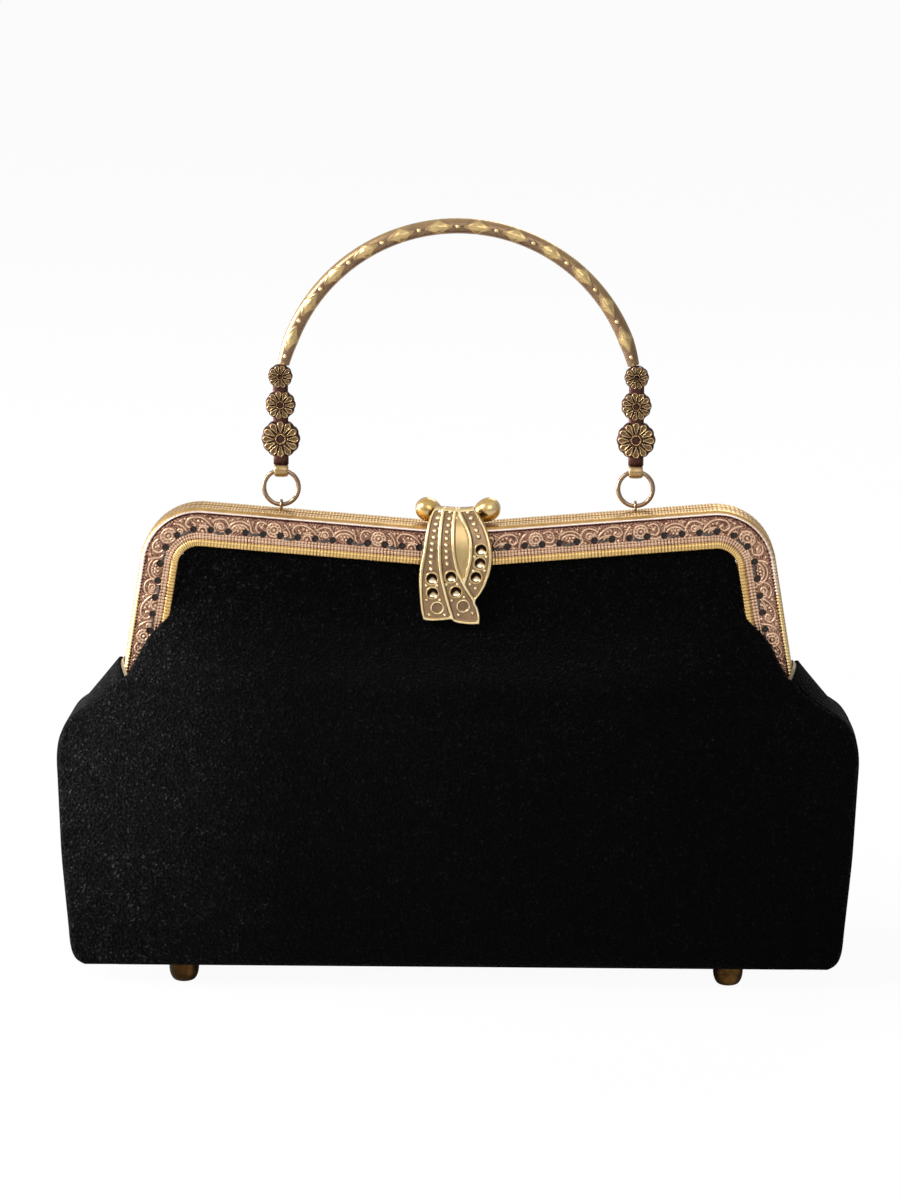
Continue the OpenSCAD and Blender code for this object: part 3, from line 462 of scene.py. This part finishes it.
# Lock: two egg-shaped brass knobs on bent arms, one standing on each half, which
# cross and snap past one another.
gold = smooth_metal("polished_gold", srgb(168, 128, 70), srgb(214, 180, 116), srgb(250, 232, 190), 0.16, 90)
for side, body, name in ((1, "front_half", "front_lock_knob"), (-1, "back_half", "back_lock_knob")):
    foot, elbow, mid = np.array([3, -3.2, 134.95]), np.array([1.5, -1.7, 138.2]), np.array([-8.6, 0, 139.2])
    arm = stroke([foot, (foot + elbow) / 2 + [0.1, -0.1, 0.2], elbow + [-0.3, 0.1, 0.3], (elbow + mid) / 2, mid], 8)
    parts = [tube(arm, 1.2, 16), turned([(1.75, 0), (1.8, 0.25), (1.75, 0.7), (1.25, 1.0), (1.2, 1.2)])]
    parts[1][0][:] += [foot[0], foot[1], 134.98]
    a = np.radians(np.linspace(-88, 88, 30))
    # a shallow groove parts the egg from the collar at its inner end
    k = 1 + 0.12 * np.sin(a) - 0.05 * np.exp(-((np.degrees(a) + 52) / 7) ** 2)
    egg, f = turned(list(zip(3.55 * np.cos(a) * k, 4.4 * np.sin(a))), 56)
    t = math.radians(28)
    out, up = np.array([-math.cos(t), 0, math.sin(t)]), np.array([math.sin(t), 0, math.cos(t)])
    egg = mid + egg[:, :1] * up + egg[:, 1:2] * np.array([0, 1, 0]) + egg[:, 2:] * out
    parts.append((egg, f))
    p, f = together(parts)
    o = built(name + "_egg", p * [side, side, 1], f, gold, body)
    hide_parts(name)

# Scarf plate: a cast brass plate that hangs over the front like a draped ribbon.
# Raised ribs follow its folds, with rows of tiny beads and punched pits beside them.
# its outline and fall, each as (height, across), (across, height) or (height, depth) marks
SCARF = {
    "left": [(141.4, -6.6), (138, -8.5), (133.3, -9.6), (128, -10.4), (123, -11.3), (119.5, -11.5), (114.5, -11.3),
        (110, -10.9), (107.2, -10.2)],
    "right": [(141.4, 4.6), (139.3, 6.3), (136.9, 8.0), (133.9, 9.4), (130, 10.5), (126.6, 10.7), (123, 10.1),
        (119.2, 8.7), (116.7, 7.3), (114.3, 5.6), (112.2, 6.4), (109.5, 7.0), (106.2, 6.8)],
    "bottom": [(-10.3, 107.6), (-7.8, 107.3), (-4.4, 107.5), (-1.6, 107.8), (-0.6, 107.0), (1.5, 106.5), (4.2, 106.2),
        (7.1, 106.3)],
    "top": [(-6.7, 141.3), (-3, 141.2), (0, 141.0), (3, 141.1), (4.7, 141.3)],
    "fall": [(105, -10.6), (113.9, -11.4), (121.9, -11.4), (129.9, -10.6), (135.5, -8.8), (139.3, -6.4), (142.9, -4.0)]}
RIBS = [stroke(p, 8) for p in (
    [(-3.9, 141.8), (-4.6, 138), (-5.1, 133.3), (-5.2, 128), (-4.9, 123), (-4.2, 119), (-3.3, 115.2), (-2.3, 111.5),
        (-1.1, 107.4)],
    [(-0.3, 141.8), (-1.0, 138), (-1.2, 133.3), (-1.1, 129.6), (-0.7, 126.6), (0.1, 123.2), (1.5, 120), (3.2, 116.8),
        (4.9, 114.2), (6.0, 111.8), (6.5, 109)],
    [(0.2, 140.8), (1.6, 138), (3.0, 135.3), (3.9, 132.6), (4.2, 129.6), (3.9, 126), (3.0, 122.2), (2.1, 119.3)])]
ROWS = [stroke(p, 8) for p in (
    [(-5.0, 140.5), (-5.7, 138.3), (-6.4, 136), (-6.9, 133), (-7.4, 130.8), (-7.6, 128), (-7.8, 125.6), (-7.7, 123.1)],
    [(-2.1, 140.4), (-2.5, 137), (-2.9, 134.9), (-3.2, 131.3), (-3.2, 129.4), (-3.0, 125.8), (-2.7, 123.7)],
    [(3.0, 140.2), (4.9, 137.1), (5.8, 134.9), (6.9, 131.8)])]
CUPS = [(-7.5, 120.5, 1), (-7.3, 116.1, 1), (-5.9, 111.5, 0), (-1.8, 121.1, 1), (-0.3, 116.5, 1), (1.9, 112.1, 0),
    (7.2, 129.2, 1), (6.9, 125.2, 1), (5.7, 121.0, 1)]        # the last number is 1 for a deep cup, 0 for a flat one
PEARLS = [(-9.2, 118.4), (-5.9, 118.4), (-9.1, 113.9), (-5.1, 114.0), (-8.3, 109.3), (-3.6, 109.3), (-3.1, 118.8),
    (0.2, 118.9), (-1.5, 113.8), (2.2, 114.9), (0.5, 109.3), (4.7, 109.8), (4.9, 123.0), (5.3, 127.2), (8.8, 127.2),
    (8.3, 123.0), (3.9, 118.9), (5.6, 117.6), (-0.1, 138.4)]
SCARF_LOW, SCARF_TOP, SCARF_THICK = 107.2, 141.35, 0.75

def between(table, key):
    """The second number of a table of marks where its first number is key."""
    t = np.array(table)
    order = np.argsort(t[:, 0])
    line = stroke(t[order], 10)
    return np.interp(key, line[:, 0], line[:, 1])

A, B = np.meshgrid(np.linspace(0, 1, 150), np.linspace(0, 1, 220), indexing="ij")
z_side = SCARF_LOW + (SCARF_TOP - SCARF_LOW) * B
x = (1 - A) * between(SCARF["left"], z_side) + A * between(SCARF["right"], z_side)
low, tops = between(SCARF["bottom"], x), between(SCARF["top"], x)
z = low + (tops - low) * B
y = between(SCARF["fall"], z)
g = np.stack([x.ravel(), z.ravel()], 1)
rim = np.minimum(np.minimum(A, 1 - A) * 20, np.minimum(B, 1 - B) * 34).ravel()
h, wear_and_painted_light = np.zeros(len(g)), np.full(len(g), 0.36)
near_side, far_side = (np.interp(g[:, 1], RIBS[k][::-1, 1], RIBS[k][::-1, 0]) for k in (1, 2))
inside = (g[:, 1] > 119) & (g[:, 0] > near_side) & (g[:, 0] < far_side)     # the bright fold between two ribs
wear_and_painted_light[inside] = 0.62
for rib in RIBS:
    k = np.exp(-(distance(g, rib) / 0.56) ** 4)
    h, wear_and_painted_light = np.maximum(h, 0.65 * k), np.maximum(wear_and_painted_light, 0.88 * k)
k = np.exp(-(np.abs(rim - 0.62) / 0.55) ** 4)
h, wear_and_painted_light = np.maximum(h, 0.6 * k), np.maximum(wear_and_painted_light, 0.84 * k)
spots = [(x, z, 0.48) for x, z in PEARLS]
for row in ROWS:
    seg = np.linalg.norm(np.diff(row, axis=0), axis=1)
    place = np.concatenate([[0], np.cumsum(seg)])
    spots += [(np.interp(k, place, row[:, 0]), np.interp(k, place, row[:, 1]), 0.66)
              for k in np.arange(0.3, place[-1], 1.9)]
for px, pz, r in spots:
    k = np.sqrt(np.clip(1 - ((g[:, 0] - px) ** 2 + (g[:, 1] - pz) ** 2) / r ** 2, 0, 1))
    h, wear_and_painted_light = np.maximum(h, 0.9 * r * k), np.maximum(wear_and_painted_light, 0.95 * k ** 0.5)
# set cups: painted shade over the upper part of the deep ones, and a painted reflection at their lower lip
for px, pz, deep in CUPS:
    d = np.hypot(g[:, 0] - px, g[:, 1] - pz)
    bowl = np.clip((1.65 - d) / 0.25, 0, 1)
    lip = np.exp(-((d - 1.8) / 0.22) ** 2)
    # the painted reflection is a bright wedge that widens downwards in the lower part of each deep cup
    reflection_spread = np.abs(g[:, 0] - px - 0.15) / np.maximum(0.9 * (pz + 0.7 - g[:, 1]), 0.2)
    low = np.clip((pz + 0.5 - g[:, 1]) / 1.3, 0, 1) * np.clip(1.3 - reflection_spread, 0, 1)
    flat = 0.3 + 0.2 * np.sin(9 * g[:, 0]) * np.sin(7 * g[:, 1])
    sunk = -0.75 * np.sqrt(np.clip(1 - (d / 1.7) ** 2, 0, 1)) if deep else -0.25
    h = h * (1 - bowl) + bowl * sunk + 0.25 * lip
    wear_and_painted_light = wear_and_painted_light * (1 - bowl) + bowl * (1.3 * low if deep else flat) + (0.35 if deep else 0.6) * lip
h -= 0.5 * np.clip(1 - rim / 0.4, 0, 1) ** 2
h = h.reshape(A.shape)
front = np.stack([x, y - h - 0.5 * np.sin(np.pi * A) ** 0.6 - 0.15, z], -1)
rear = np.stack([x, y + SCARF_THICK, z], -1)
n, m = A.shape
def sheet_faces(start, turn):
    """Faces of one side of the plate, whose points begin at start."""
    return [[start + i * m + j, start + (i + 1) * m + j, start + (i + 1) * m + j + 1, start + i * m + j + 1][::turn]
            for i in range(n - 1) for j in range(m - 1)]

edge = [i * m for i in range(n)] + [(n - 1) * m + j for j in range(1, m)]
edge += [i * m + m - 1 for i in range(n - 2, -1, -1)] + [j for j in range(m - 2, 0, -1)]
skirt = [[e, f, n * m + f, n * m + e][::-1] for e, f in zip(edge, edge[1:] + edge[:1])]
pegs = [tube([(px, -10.2, 129.1), (px, -6.4, 129.1)], 1.2, 20) for px in (-4, 4)]
skins = np.concatenate([front.reshape(-1, 3), rear.reshape(-1, 3)])
p, f = together([(skins, sheet_faces(0, 1) + sheet_faces(n * m, -1) + skirt)] + pegs)

cast, shader, s = finish("cast_brass", Metallic=1.0)
high = s.attribute("relief")
grime = s.noise(240, 4, 0.6)
tone = (high + (grime - 0.5) * 0.25).ramp((0.0, srgb(24, 17, 15)), (0.14, srgb(76, 54, 42)),
    (0.32, srgb(134, 108, 86)), (0.55, srgb(184, 154, 108)), (0.8, srgb(224, 198, 140)), (1.0, srgb(252, 240, 212)))
feed(shader, Base_Color=tone, Roughness=0.36 - 0.16 * high + 0.1 * grime, Normal=bump(s, s.noise(700, 3), 0.2, 0.0001))
wear_and_painted_light = np.concatenate([np.clip(wear_and_painted_light, 0, 1), np.full(len(p) - n * m, 0.4)])
scarf = built("scarf_plate_cast", p, f, cast, "front_half", relief=wear_and_painted_light)
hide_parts("scarf_plate")

# Rings and their loops: drawn wire, bent round and closed, one pair on each side
# of the back half, standing face on.
wire = smooth_metal("ring_wire", srgb(120, 96, 78), srgb(170, 144, 118), srgb(226, 208, 182), 0.2, 120)
BACK_MID, RING_X, LOOP_Z = 3.65, 53.5, 140.0545     # depth of the back half's middle, and where the rings hang
RING_R, RING_WIRE, LOOP_R, LOOP_WIRE = 5.25, 0.68, 1.28, 0.42
a = np.linspace(0, 2 * np.pi, 64, endpoint=False)
for sign, name in ((-1, "left"), (1, "right")):
    line = [sign * RING_X + RING_R * np.sin(a), BACK_MID + 0 * a, LOOP_Z + RING_R + RING_R * np.cos(a)]
    p, f = tube(np.stack(line, 1), RING_WIRE, 16, True)
    o = built("wire_ring_" + name, p, f, wire, name + "_ring")
    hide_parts("ring_" + name)
    b = np.radians(np.linspace(-40, 220, 40))
    line = [sign * RING_X + 0 * b, BACK_MID + LOOP_R * np.cos(b), LOOP_Z + LOOP_R * np.sin(b)]
    p, f = tube(np.stack(line, 1), LOOP_WIRE, 14)
    o = built("wire_loop_" + name, p, f, wire, "back_half")
    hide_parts("handle_loop_" + name)

# Handle: a cast brass rod bent to an arch, with long diamonds raised along it and
# a round boss between each two.
ARCH_Z, ARCH_R, ROD, REPEAT = 170.65, 53.9, 2.3, 11.62      # the last is the distance between two bosses
start = math.radians(13.1)
n, sides = 900, 60
T, AROUND = np.meshgrid(np.linspace(start, math.pi - start, n), np.linspace(0, 2 * np.pi, sides, endpoint=False),
    indexing="ij")
place = ((T - math.pi / 2) * ARCH_R / REPEAT + 0.5) % 1 - 0.5     # 0 at a boss, 0.5 at the middle of a diamond
face_up = np.abs(np.sin(AROUND))                                  # 1 on the front and back of the rod
across = np.cos(AROUND)
wide = 0.9 * np.clip((np.abs(place) - 0.14) / 0.36, 0, 1)
lozenge = np.clip((wide - np.abs(across)) / 0.8, 0, 1)
line = np.exp(-((np.abs(across) - wide) / 0.1) ** 2) * (np.abs(place) > 0.15)
boss = np.sqrt(np.clip(1 - (place * REPEAT / 0.72) ** 2 - (across * ROD / 0.72) ** 2, 0, 1))
h = face_up * (0.16 * line + 0.42 * lozenge + 0.5 * boss)
taper = 1 - 0.24 * np.clip(1 - (np.minimum(T, math.pi - T) - start) / 0.14, 0, 1)
r = (ROD * (1 - 0.14 * face_up) + h) * taper
diamond = np.clip(lozenge * 4, 0, 1)
# painted light: the outer side of the rod is a little lighter and its inner side a little darker, as the light falls on
# the top of the arch; the raised lines, diamonds and bosses are lighter with wear
wear_and_painted_light = 0.46 + 0.05 * across + 0.16 * line + 0.2 * diamond - 0.14 * face_up * (1 - diamond) + 0.5 * boss
out = ARCH_R + r * np.cos(AROUND)
pts = np.stack([out * np.cos(T), BACK_MID + r * np.sin(AROUND), ARCH_Z + out * np.sin(T)], -1).reshape(-1, 3)
faces = [[q[0], q[3], q[2], q[1]] for q in hoops(n, sides)]
faces += [list(range(sides)), [(n - 1) * sides + j for j in range(sides)][::-1]]
arch = built("arch_rod", pts, faces, cast, "handle", relief=np.clip(wear_and_painted_light, 0, 1))
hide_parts("handle_arch")

# Flower ends: three cast rosettes in a row on each stem, from a barrel that turns
# on the ring up to the foot of the arch, alike on both faces.
def rosette(c, d, petals):
    """One flower: rounded petals with raised rims about a cup with a bead ring."""
    seg, rings = 180, 40
    R, TURN_AT = np.meshgrid(np.linspace(0, 1, rings), np.linspace(0, 2 * np.pi, seg, endpoint=False), indexing="ij")
    rad = R * d / 2 * 1.03 * (0.95 + 0.05 * np.abs(np.cos(TURN_AT * petals / 2)))
    turn = np.abs((TURN_AT * petals / (2 * np.pi) + 0.5) % 1 - 0.5) * 2
    q = (R - 0.34) / 0.57            # 0 at the foot of a petal, 1 at its tip
    tip = np.sqrt(np.clip(1 - np.clip((q - 0.7) / 0.3, 0, 1) ** 2, 0, 1))
    wide = 0.84 * tip * (0.45 + 0.55 * np.clip(q / 0.7, 0, 1))
    on = (q > 0) & (q < 1.05)
    leaf, fold = np.clip((wide - turn) / 0.2, 0, 1) * on, np.exp(-((turn - wide + 0.1) / 0.2) ** 2) * on
    cup = np.exp(-((R - 0.25) / 0.055) ** 2) * (0.55 + 0.45 * np.abs(np.sin(TURN_AT * 8)))
    h = (0.18 * leaf + 0.5 * fold + 0.55 * cup - 0.3 * (R < 0.17)) * np.clip((1.0 - R) / 0.05, 0, 1)
    # painted highlight: a bright spot at the bottom of the middle cup; the raised folds and the bead ring are lighter
    # with wear
    wear_and_painted_light = 0.1 + 0.22 * leaf + 0.62 * fold + 0.6 * cup + 0.7 * np.exp(-(R / 0.09) ** 2)
    thick = 1.35 * np.sqrt(np.clip(1 - np.clip((R - 0.88) / 0.12, 0, 1) ** 2, 0, 1)) * (1 - 0.12 * R)
    sides = []
    for way in (-1, 1):
        y = BACK_MID + way * (thick + h)
        flower = np.stack([c[0] + rad * np.cos(TURN_AT), y, c[1] + rad * np.sin(TURN_AT)], -1)
        sides.append((flower.reshape(-1, 3), [q[::way] for q in hoops(rings, seg)]))
    return *together(sides), np.clip(np.tile(wear_and_painted_light.ravel(), 2), 0, 1)

FLOWERS = ((160.25, 11.4, 12), (170.6, 8.9, 11), (179.25, 7.2, 10))         # height, diameter, petals
BAIL_Z, BAIL_HALF = LOOP_Z + 2 * RING_R, 2.05
BARREL = [(0.8, -BAIL_HALF)]            # radius and place along the bail, closed through its bore
BARREL += [(1.35 + 0.75 * math.cos(q) ** 0.5, 2.1 * math.sin(q)) for q in np.radians(np.linspace(-86, 86, 15))]
BARREL += [(0.8, BAIL_HALF), (0.8, -BAIL_HALF)]
a = np.linspace(0, 2 * np.pi, 40, endpoint=False)
aged, shader, s = finish("aged_cast_brass", Metallic=1.0)
high = s.attribute("relief")
grime = s.noise(500, 4, 0.6)
tone = (high + (grime - 0.5) * 0.3).ramp((0.0, srgb(34, 20, 22)), (0.2, srgb(84, 56, 50)), (0.5, srgb(150, 122, 84)),
    (0.75, srgb(196, 170, 122)), (1.0, srgb(244, 230, 200)))
feed(shader, Base_Color=tone, Roughness=0.42 - 0.18 * high + 0.1 * grime, Normal=bump(s, s.noise(900, 3), 0.2, 0.0001))

for sign, name in ((-1, "left"), (1, "right")):
    x0 = sign * RING_X
    parts, tones = [], []
    for z0, d, petals in FLOWERS:
        p, f, tone = rosette((x0, z0), d, petals)
        parts.append((p, f))
        tones.append(tone)
    stem = tube(stroke([(x0, BACK_MID, 152.4), (x0, BACK_MID, 165), (x0, BACK_MID, 180)], 6), 2.3, 24)
    stem[0][:, 1] = BACK_MID + (stem[0][:, 1] - BACK_MID) * 0.55
    parts.append(stem)
    tones.append(np.full(len(stem[0]), 0.15))
    bar = np.concatenate([np.stack([x0 + u + 0 * a, BACK_MID + r * np.cos(a), BAIL_Z + r * np.sin(a)], 1)
                          for r, u in BARREL])
    parts.append((bar, hoops(len(BARREL), len(a))))
    tones.append(np.full(len(bar), 0.6))
    p, f = together(parts)
    o = built("rosettes_" + name, p, f, aged, "handle", relief=np.concatenate(tones))
    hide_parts("flower_end_" + name)

# Velvet body: a front and a back panel of black velvet, cut full and gathered into
# the frame, where it swells out over the feet of the legs.
# each row: half width, height, depth at the side and in the middle, then the gusset's middle line
SEAM = np.array([[110.2, 5.9, 33, 35.2, 110.8, 5.9], [113.0, 6.9, 33.2, 36.2, 113.6, 6.9],
    [114.4, 10.8, 32.9, 36.8, 115.0, 10.8], [115.0, 17.5, 31.5, 37, 115.8, 17.5], [117.4, 38, 26, 35.5, 118.0, 38],
    [119.9, 65.5, 13, 30.3, 120.2, 66], [119.2, 71.5, 12.2, 28.3, 119.4, 71.8], [115.8, 77.2, 11.6, 26.2, 116.4, 75.6],
    [108.5, 81.8, 11.4, 24.6, 111.2, 82.0], [103.0, 85.6, 11.4, 23.8, 106.4, 87.8],
    [100.0, HINGE_Z, 11.6, 23.0, 102.2, 93.0]])
FULL = [1.012, 1, 1, 1, 1.012, 1]      # filled out a little at the sides
NECK = 100.0                           # half width of the panel at the hinge line

def smoothed(grid, times):
    """A grid of points evened out along its rows, its first and last rows kept."""
    g = grid.copy()
    for _ in range(times):
        g[1:-1] = (g[:-2] + 2 * g[1:-1] + g[2:]) / 4
    return g

def even(points, n):
    """Points along a line at equal distances, with its corners eased."""
    far = np.concatenate([[0], np.cumsum(np.linalg.norm(np.diff(points[:, :2], axis=0), axis=1))])
    return smoothed(np.stack([np.interp(np.linspace(0, far[-1], n), far, c) for c in points.T], 1), 5)

velvet, shader, s = finish("black_velvet", Roughness=0.9, Specular_IOR_Level=0.04,
    Sheen_Weight=0.045, Sheen_Roughness=0.35, Sheen_Tint=(0.8, 0.8, 0.84, 1))
pile = s.noise(1300, 2, 0.6)
crush = s.noise(260, 3, 0.55)
fleck = 0.8 * pile + 0.2 * crush
across, height = [s.node("SeparateXYZ", (), {0: s.node("TexCoord", (), (), 3)}, i) for i in (0, 2)]
# painted light: the velvet is made lighter towards its left side and its top, where the light from the upper left falls
# on the pile, and darker towards the bottom
painted_light_leftward = s.math("ADD", -16.7 * across, 0.2 * crush - 0.9, clamp=True)
painted_light_left_and_top = 0.08 + s.math("MULTIPLY", height, 1.5, clamp=True) + 0.7 * painted_light_leftward
tips = fleck.ramp((0.42, srgb(0, 0, 0)), (0.6, srgb(22, 22, 23)), (0.74, srgb(84, 84, 89)))
feed(shader, Base_Color=painted_light_left_and_top.mix(srgb(0, 0, 0), tips), Normal=bump(s, pile + 0.5 * crush, 1.0, 0.0012))

def panel(inset, ns=141):
    """The panel as rows of points from the base up to the frame, each row from side to side."""
    s = np.linspace(-1, 1, ns)
    rows = [np.stack([s * (r[0] - inset), -(r[2] + (r[3] - r[2]) * (1 - np.abs(s) ** 3)) + inset,
        r[1] + 1.2 * (1 - s ** 2) * np.clip((16 - r[1]) / 10, 0, 1)], 1) for r in even(SEAM * FULL, 84)]
    s45 = DIP_L + BAR_L + (CORNER_R - HOLE_IN) * (math.pi / 4 + DIP)
    top = at_frame(s * s45, np.full(ns, BAND + 0.2))
    # the sides follow the inner edge down the legs, then lean out across them to the seam
    inner = at_frame(np.linspace(HALF_L - 21, s45, 14), np.full(14, BAND + 0.2))
    rim = stroke(np.concatenate([[(NECK, HINGE_Z), (96.6, 95.5), (92.4, 102.5)], inner]), 10)
    cut = np.concatenate([[0], np.cumsum(np.linalg.norm(np.diff(rim, axis=0), axis=1))])
    for T in np.linspace(0, 1, 52)[1:]:
        e = np.array([np.interp(T * cut[-1], cut, rim[:, k]) for k in (0, 1)])
        base = np.stack([s * NECK, HINGE_Z + 0 * s], 1)
        w = (s + 1)[:, None] / 2
        corner0 = (1 - w) * base[0] + w * base[-1]
        corner1 = (1 - w) * top[0] + w * top[-1]
        xz = (1 - w) * e * [-1, 1] + w * e + (1 - T) * base + T * top - ((1 - T) * corner0 + T * corner1)
        rim_y = np.interp(e[1], [HINGE_Z, 96, 104, 108, 111.5], [11.6, 9.6, 8.5, 8.0, 6.2])
        mid = 6.2 + 12.2 * (1 - T) ** 1.9 + 4.6 * (1 - T) ** 3.5
        round_ = 1 - np.abs(s) ** (3 + 5 * (1 - T) * T * 4)
        rows.append(np.stack([xz[:, 0], -(rim_y + (mid - rim_y) * round_) + inset, xz[:, 1]], 1))
    g = np.array(rows)
    g[..., 1:2] = smoothed(g[..., 1:2], 30)
    return g

def cloth(name, g, body, mat, thick, nodes, flip=False):
    """A sheet of cloth, thick mm through, over a grid of points."""
    rows, cols = g.shape[:2]
    i, j = np.meshgrid(np.arange(rows - 1), np.arange(cols - 1), indexing="ij")
    quad = np.stack([i * cols + j, i * cols + j + 1, (i + 1) * cols + j + 1, (i + 1) * cols + j], -1).reshape(-1, 4)
    if flip:
        quad = quad[:, ::-1]
    o = built(name, g.reshape(-1, 3), quad.tolist(), mat)
    mod = o.modifiers.new("cloth", "SOLIDIFY")
    mod.thickness, mod.offset = thick * 0.001, -1
    if body:
        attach(o, body)
    if nodes:
        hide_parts(*nodes)
    return o

g = panel(0)
t = np.linspace(0, 1, g.shape[0])[:, None]
s = np.linspace(-1, 1, g.shape[1])[None]
# soft unevenness where the cloth is gathered in at the corners and slack at the base
g[..., 1] -= 0.3 * np.sin(t * np.pi) * np.sin(9 * s + 3 * t) * (1 - s ** 4)
for side, half, nodes, name in ((1, "front_half", ("front_panel", "front_panel_top"), "front_velvet"),
                                (-1, "back_half", ("back_panel", "back_panel_top"), "back_velvet")):
    o = cloth(name, g * [side, side, 1], None, velvet, 1.1, nodes)
    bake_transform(o)

# Gussets and floor of the bag: the same velvet, seamed between the panels; each
# gusset rises to a point in its middle behind the foot of the leg.
def gusset(inset, n=33, first=0, rows=84):
    """One gusset as rows of points from the base up, each from front to back."""
    v = np.linspace(-1, 1, n)
    k = (1 - v ** 2)[:, None]
    return np.array([k * [r[4], 0, r[5]] + (1 - k) * [r[0], 0, r[1]] + np.outer(v * (r[2] - 1.2), [0, 1, 0])
        - [inset, 0, 0] for r in even(SEAM * FULL, rows)[first:]])

for sign, name in ((1, "right"), (-1, "left")):
    g = gusset(0) * [sign, 1, 1]
    o = cloth("velvet_gusset_" + name, g, "bag", velvet, 1.1, ("gusset_" + name,), flip=sign < 0)

def plate(w, d, r, z0, z1):
    """A flat piece with round corners, softened along its edges."""
    a = np.linspace(0, np.pi / 2, 10)
    o = np.array([(sx * (w / 2 - r) + sx * r * math.cos(q), sy * (d / 2 - r) + sy * r * math.sin(q))
                  for sx, sy, turn in ((1, 1, 1), (-1, 1, -1), (-1, -1, 1), (1, -1, -1)) for q in a[::turn]])
    rings = [(0.02, z0), (0.5, z0), (0.9925, z0), (1, z0 + 0.15), (1, z1 - 0.15), (0.9925, z1), (0.5, z1), (0.02, z1)]
    n = len(o)
    pts = np.concatenate([np.concatenate([o * k, np.full((n, 1), z)], 1) for k, z in rings])
    faces = hoops(len(rings), n)
    faces += [list(range(n))[::-1], [(len(rings) - 1) * n + i for i in range(n)]]
    return pts, faces

p, f = plate(217, 66, 7, 5.8, 7.0)
base = built("velvet_floor", p, f, velvet, "bag")
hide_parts("base_panel")

# Base board: a plate of grey pressed board, cut with round corners and laid in under
# the lining, which keeps the bottom of the bag flat.
board, shader, s = finish("pressed_board", Roughness=0.9)
pulp = s.noise(700, 5, 0.7)
feed(shader, Base_Color=pulp.ramp((0.3, srgb(118, 108, 92)), (0.7, srgb(158, 148, 128))),
    Normal=bump(s, pulp, 0.4, 0.0002))
p, f = plate(210, 58, 8, 7.3, 9.3)
o = built("stiff_board", p, f, board, "bag")
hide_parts("base_board")

# Lining: champagne satin, seamed like the velvet, sewn into the frame with it and
# hanging loose inside the bag.
satin, shader, s = finish("lining_satin", Sheen_Weight=0.2)
stretch = s.node("Mapping", {"vector_type": "POINT"}, {0: s.node("TexCoord", (), (), 3), 3: (900, 900, 4500)})
weave = s.noise(1, 2, 0.5, stretch)
fold = s.noise(35, 3)
feed(shader, Base_Color=fold.mix(srgb(150, 128, 98), srgb(206, 186, 150)), Roughness=0.3 + 0.25 * weave,
    Normal=bump(s, 0.3 * weave + fold, 0.5, 0.0012))
g = panel(1.7, 101)[6:]
g[..., 1] += 3.5 * np.exp(-((g[..., 2] - 86) / 9) ** 2)      # slack behind the velvet where it folds
g[-10:, :, 1] += np.linspace(0, 0.5, 10)[:, None]
for side, half, nodes, name in ((1, "front_half", ("front_lining_top", "lining_body"), "front_satin"),
                                (-1, "back_half", ("back_lining_top",), "back_satin")):
    o = cloth(name, g * [side * 0.998, side * 0.97, 1], None, satin, 0.3, nodes)
    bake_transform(o)
for sign, name in ((1, "right"), (-1, "left")):
    g = gusset(1.8, 21, 6, 78) * [sign, 0.93, 1]
    o = cloth("satin_gusset_" + name, g, "bag", satin, 0.3, (), flip=sign > 0)
p, f = plate(210, 58, 8, 10.2, 10.7)
o = built("satin_floor", p, f, satin, "bag")

# Feet: four cast bronze studs, flat underneath, whose posts pass through the velvet
# and the board and are turned over on washers inside.
bronze = smooth_metal("dark_bronze", srgb(36, 24, 12), srgb(78, 54, 26), srgb(150, 112, 60), 0.28, 140)
FOOT_X, FOOT_Y, FOOT_TOP = 82, 28, 5.76
stud = [(2.3, 0), (2.55, 0.02)]         # radius and height
stud += [(9 * (0.28 + 0.22 * math.sin(q)), FOOT_TOP * 0.75 * (1 - math.cos(q)))
         for q in np.radians(np.arange(8, 90, 6))]
stud += [(4.5, FOOT_TOP * 0.76), (4.35, FOOT_TOP - 0.35), (4.42, FOOT_TOP - 0.05), (4.3, FOOT_TOP), (1.2, FOOT_TOP),
    (1.2, 9.9)]
washer = [(1.25, 9.34), (4.4, 9.34), (4.5, 9.5), (4.4, 9.88), (3.2, 9.92), (1.25, 9.92)]
washers = []
for x, x_name in ((-FOOT_X, "left"), (FOOT_X, "right")):
    for y, y_name in ((-FOOT_Y, "front"), (FOOT_Y, "back")):
        p, f = turned(stud, 56)
        o = built("stud_%s_%s" % (y_name, x_name), p + [x, y, 0], f, bronze, "bag")
        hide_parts("foot_%s_%s" % (y_name, x_name))
        p, f = turned(washer, 40)
        washers.append((p + [x, y, 0], f))
o = built("stud_washers", *together(washers), bronze, "bag")
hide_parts("foot_washers")
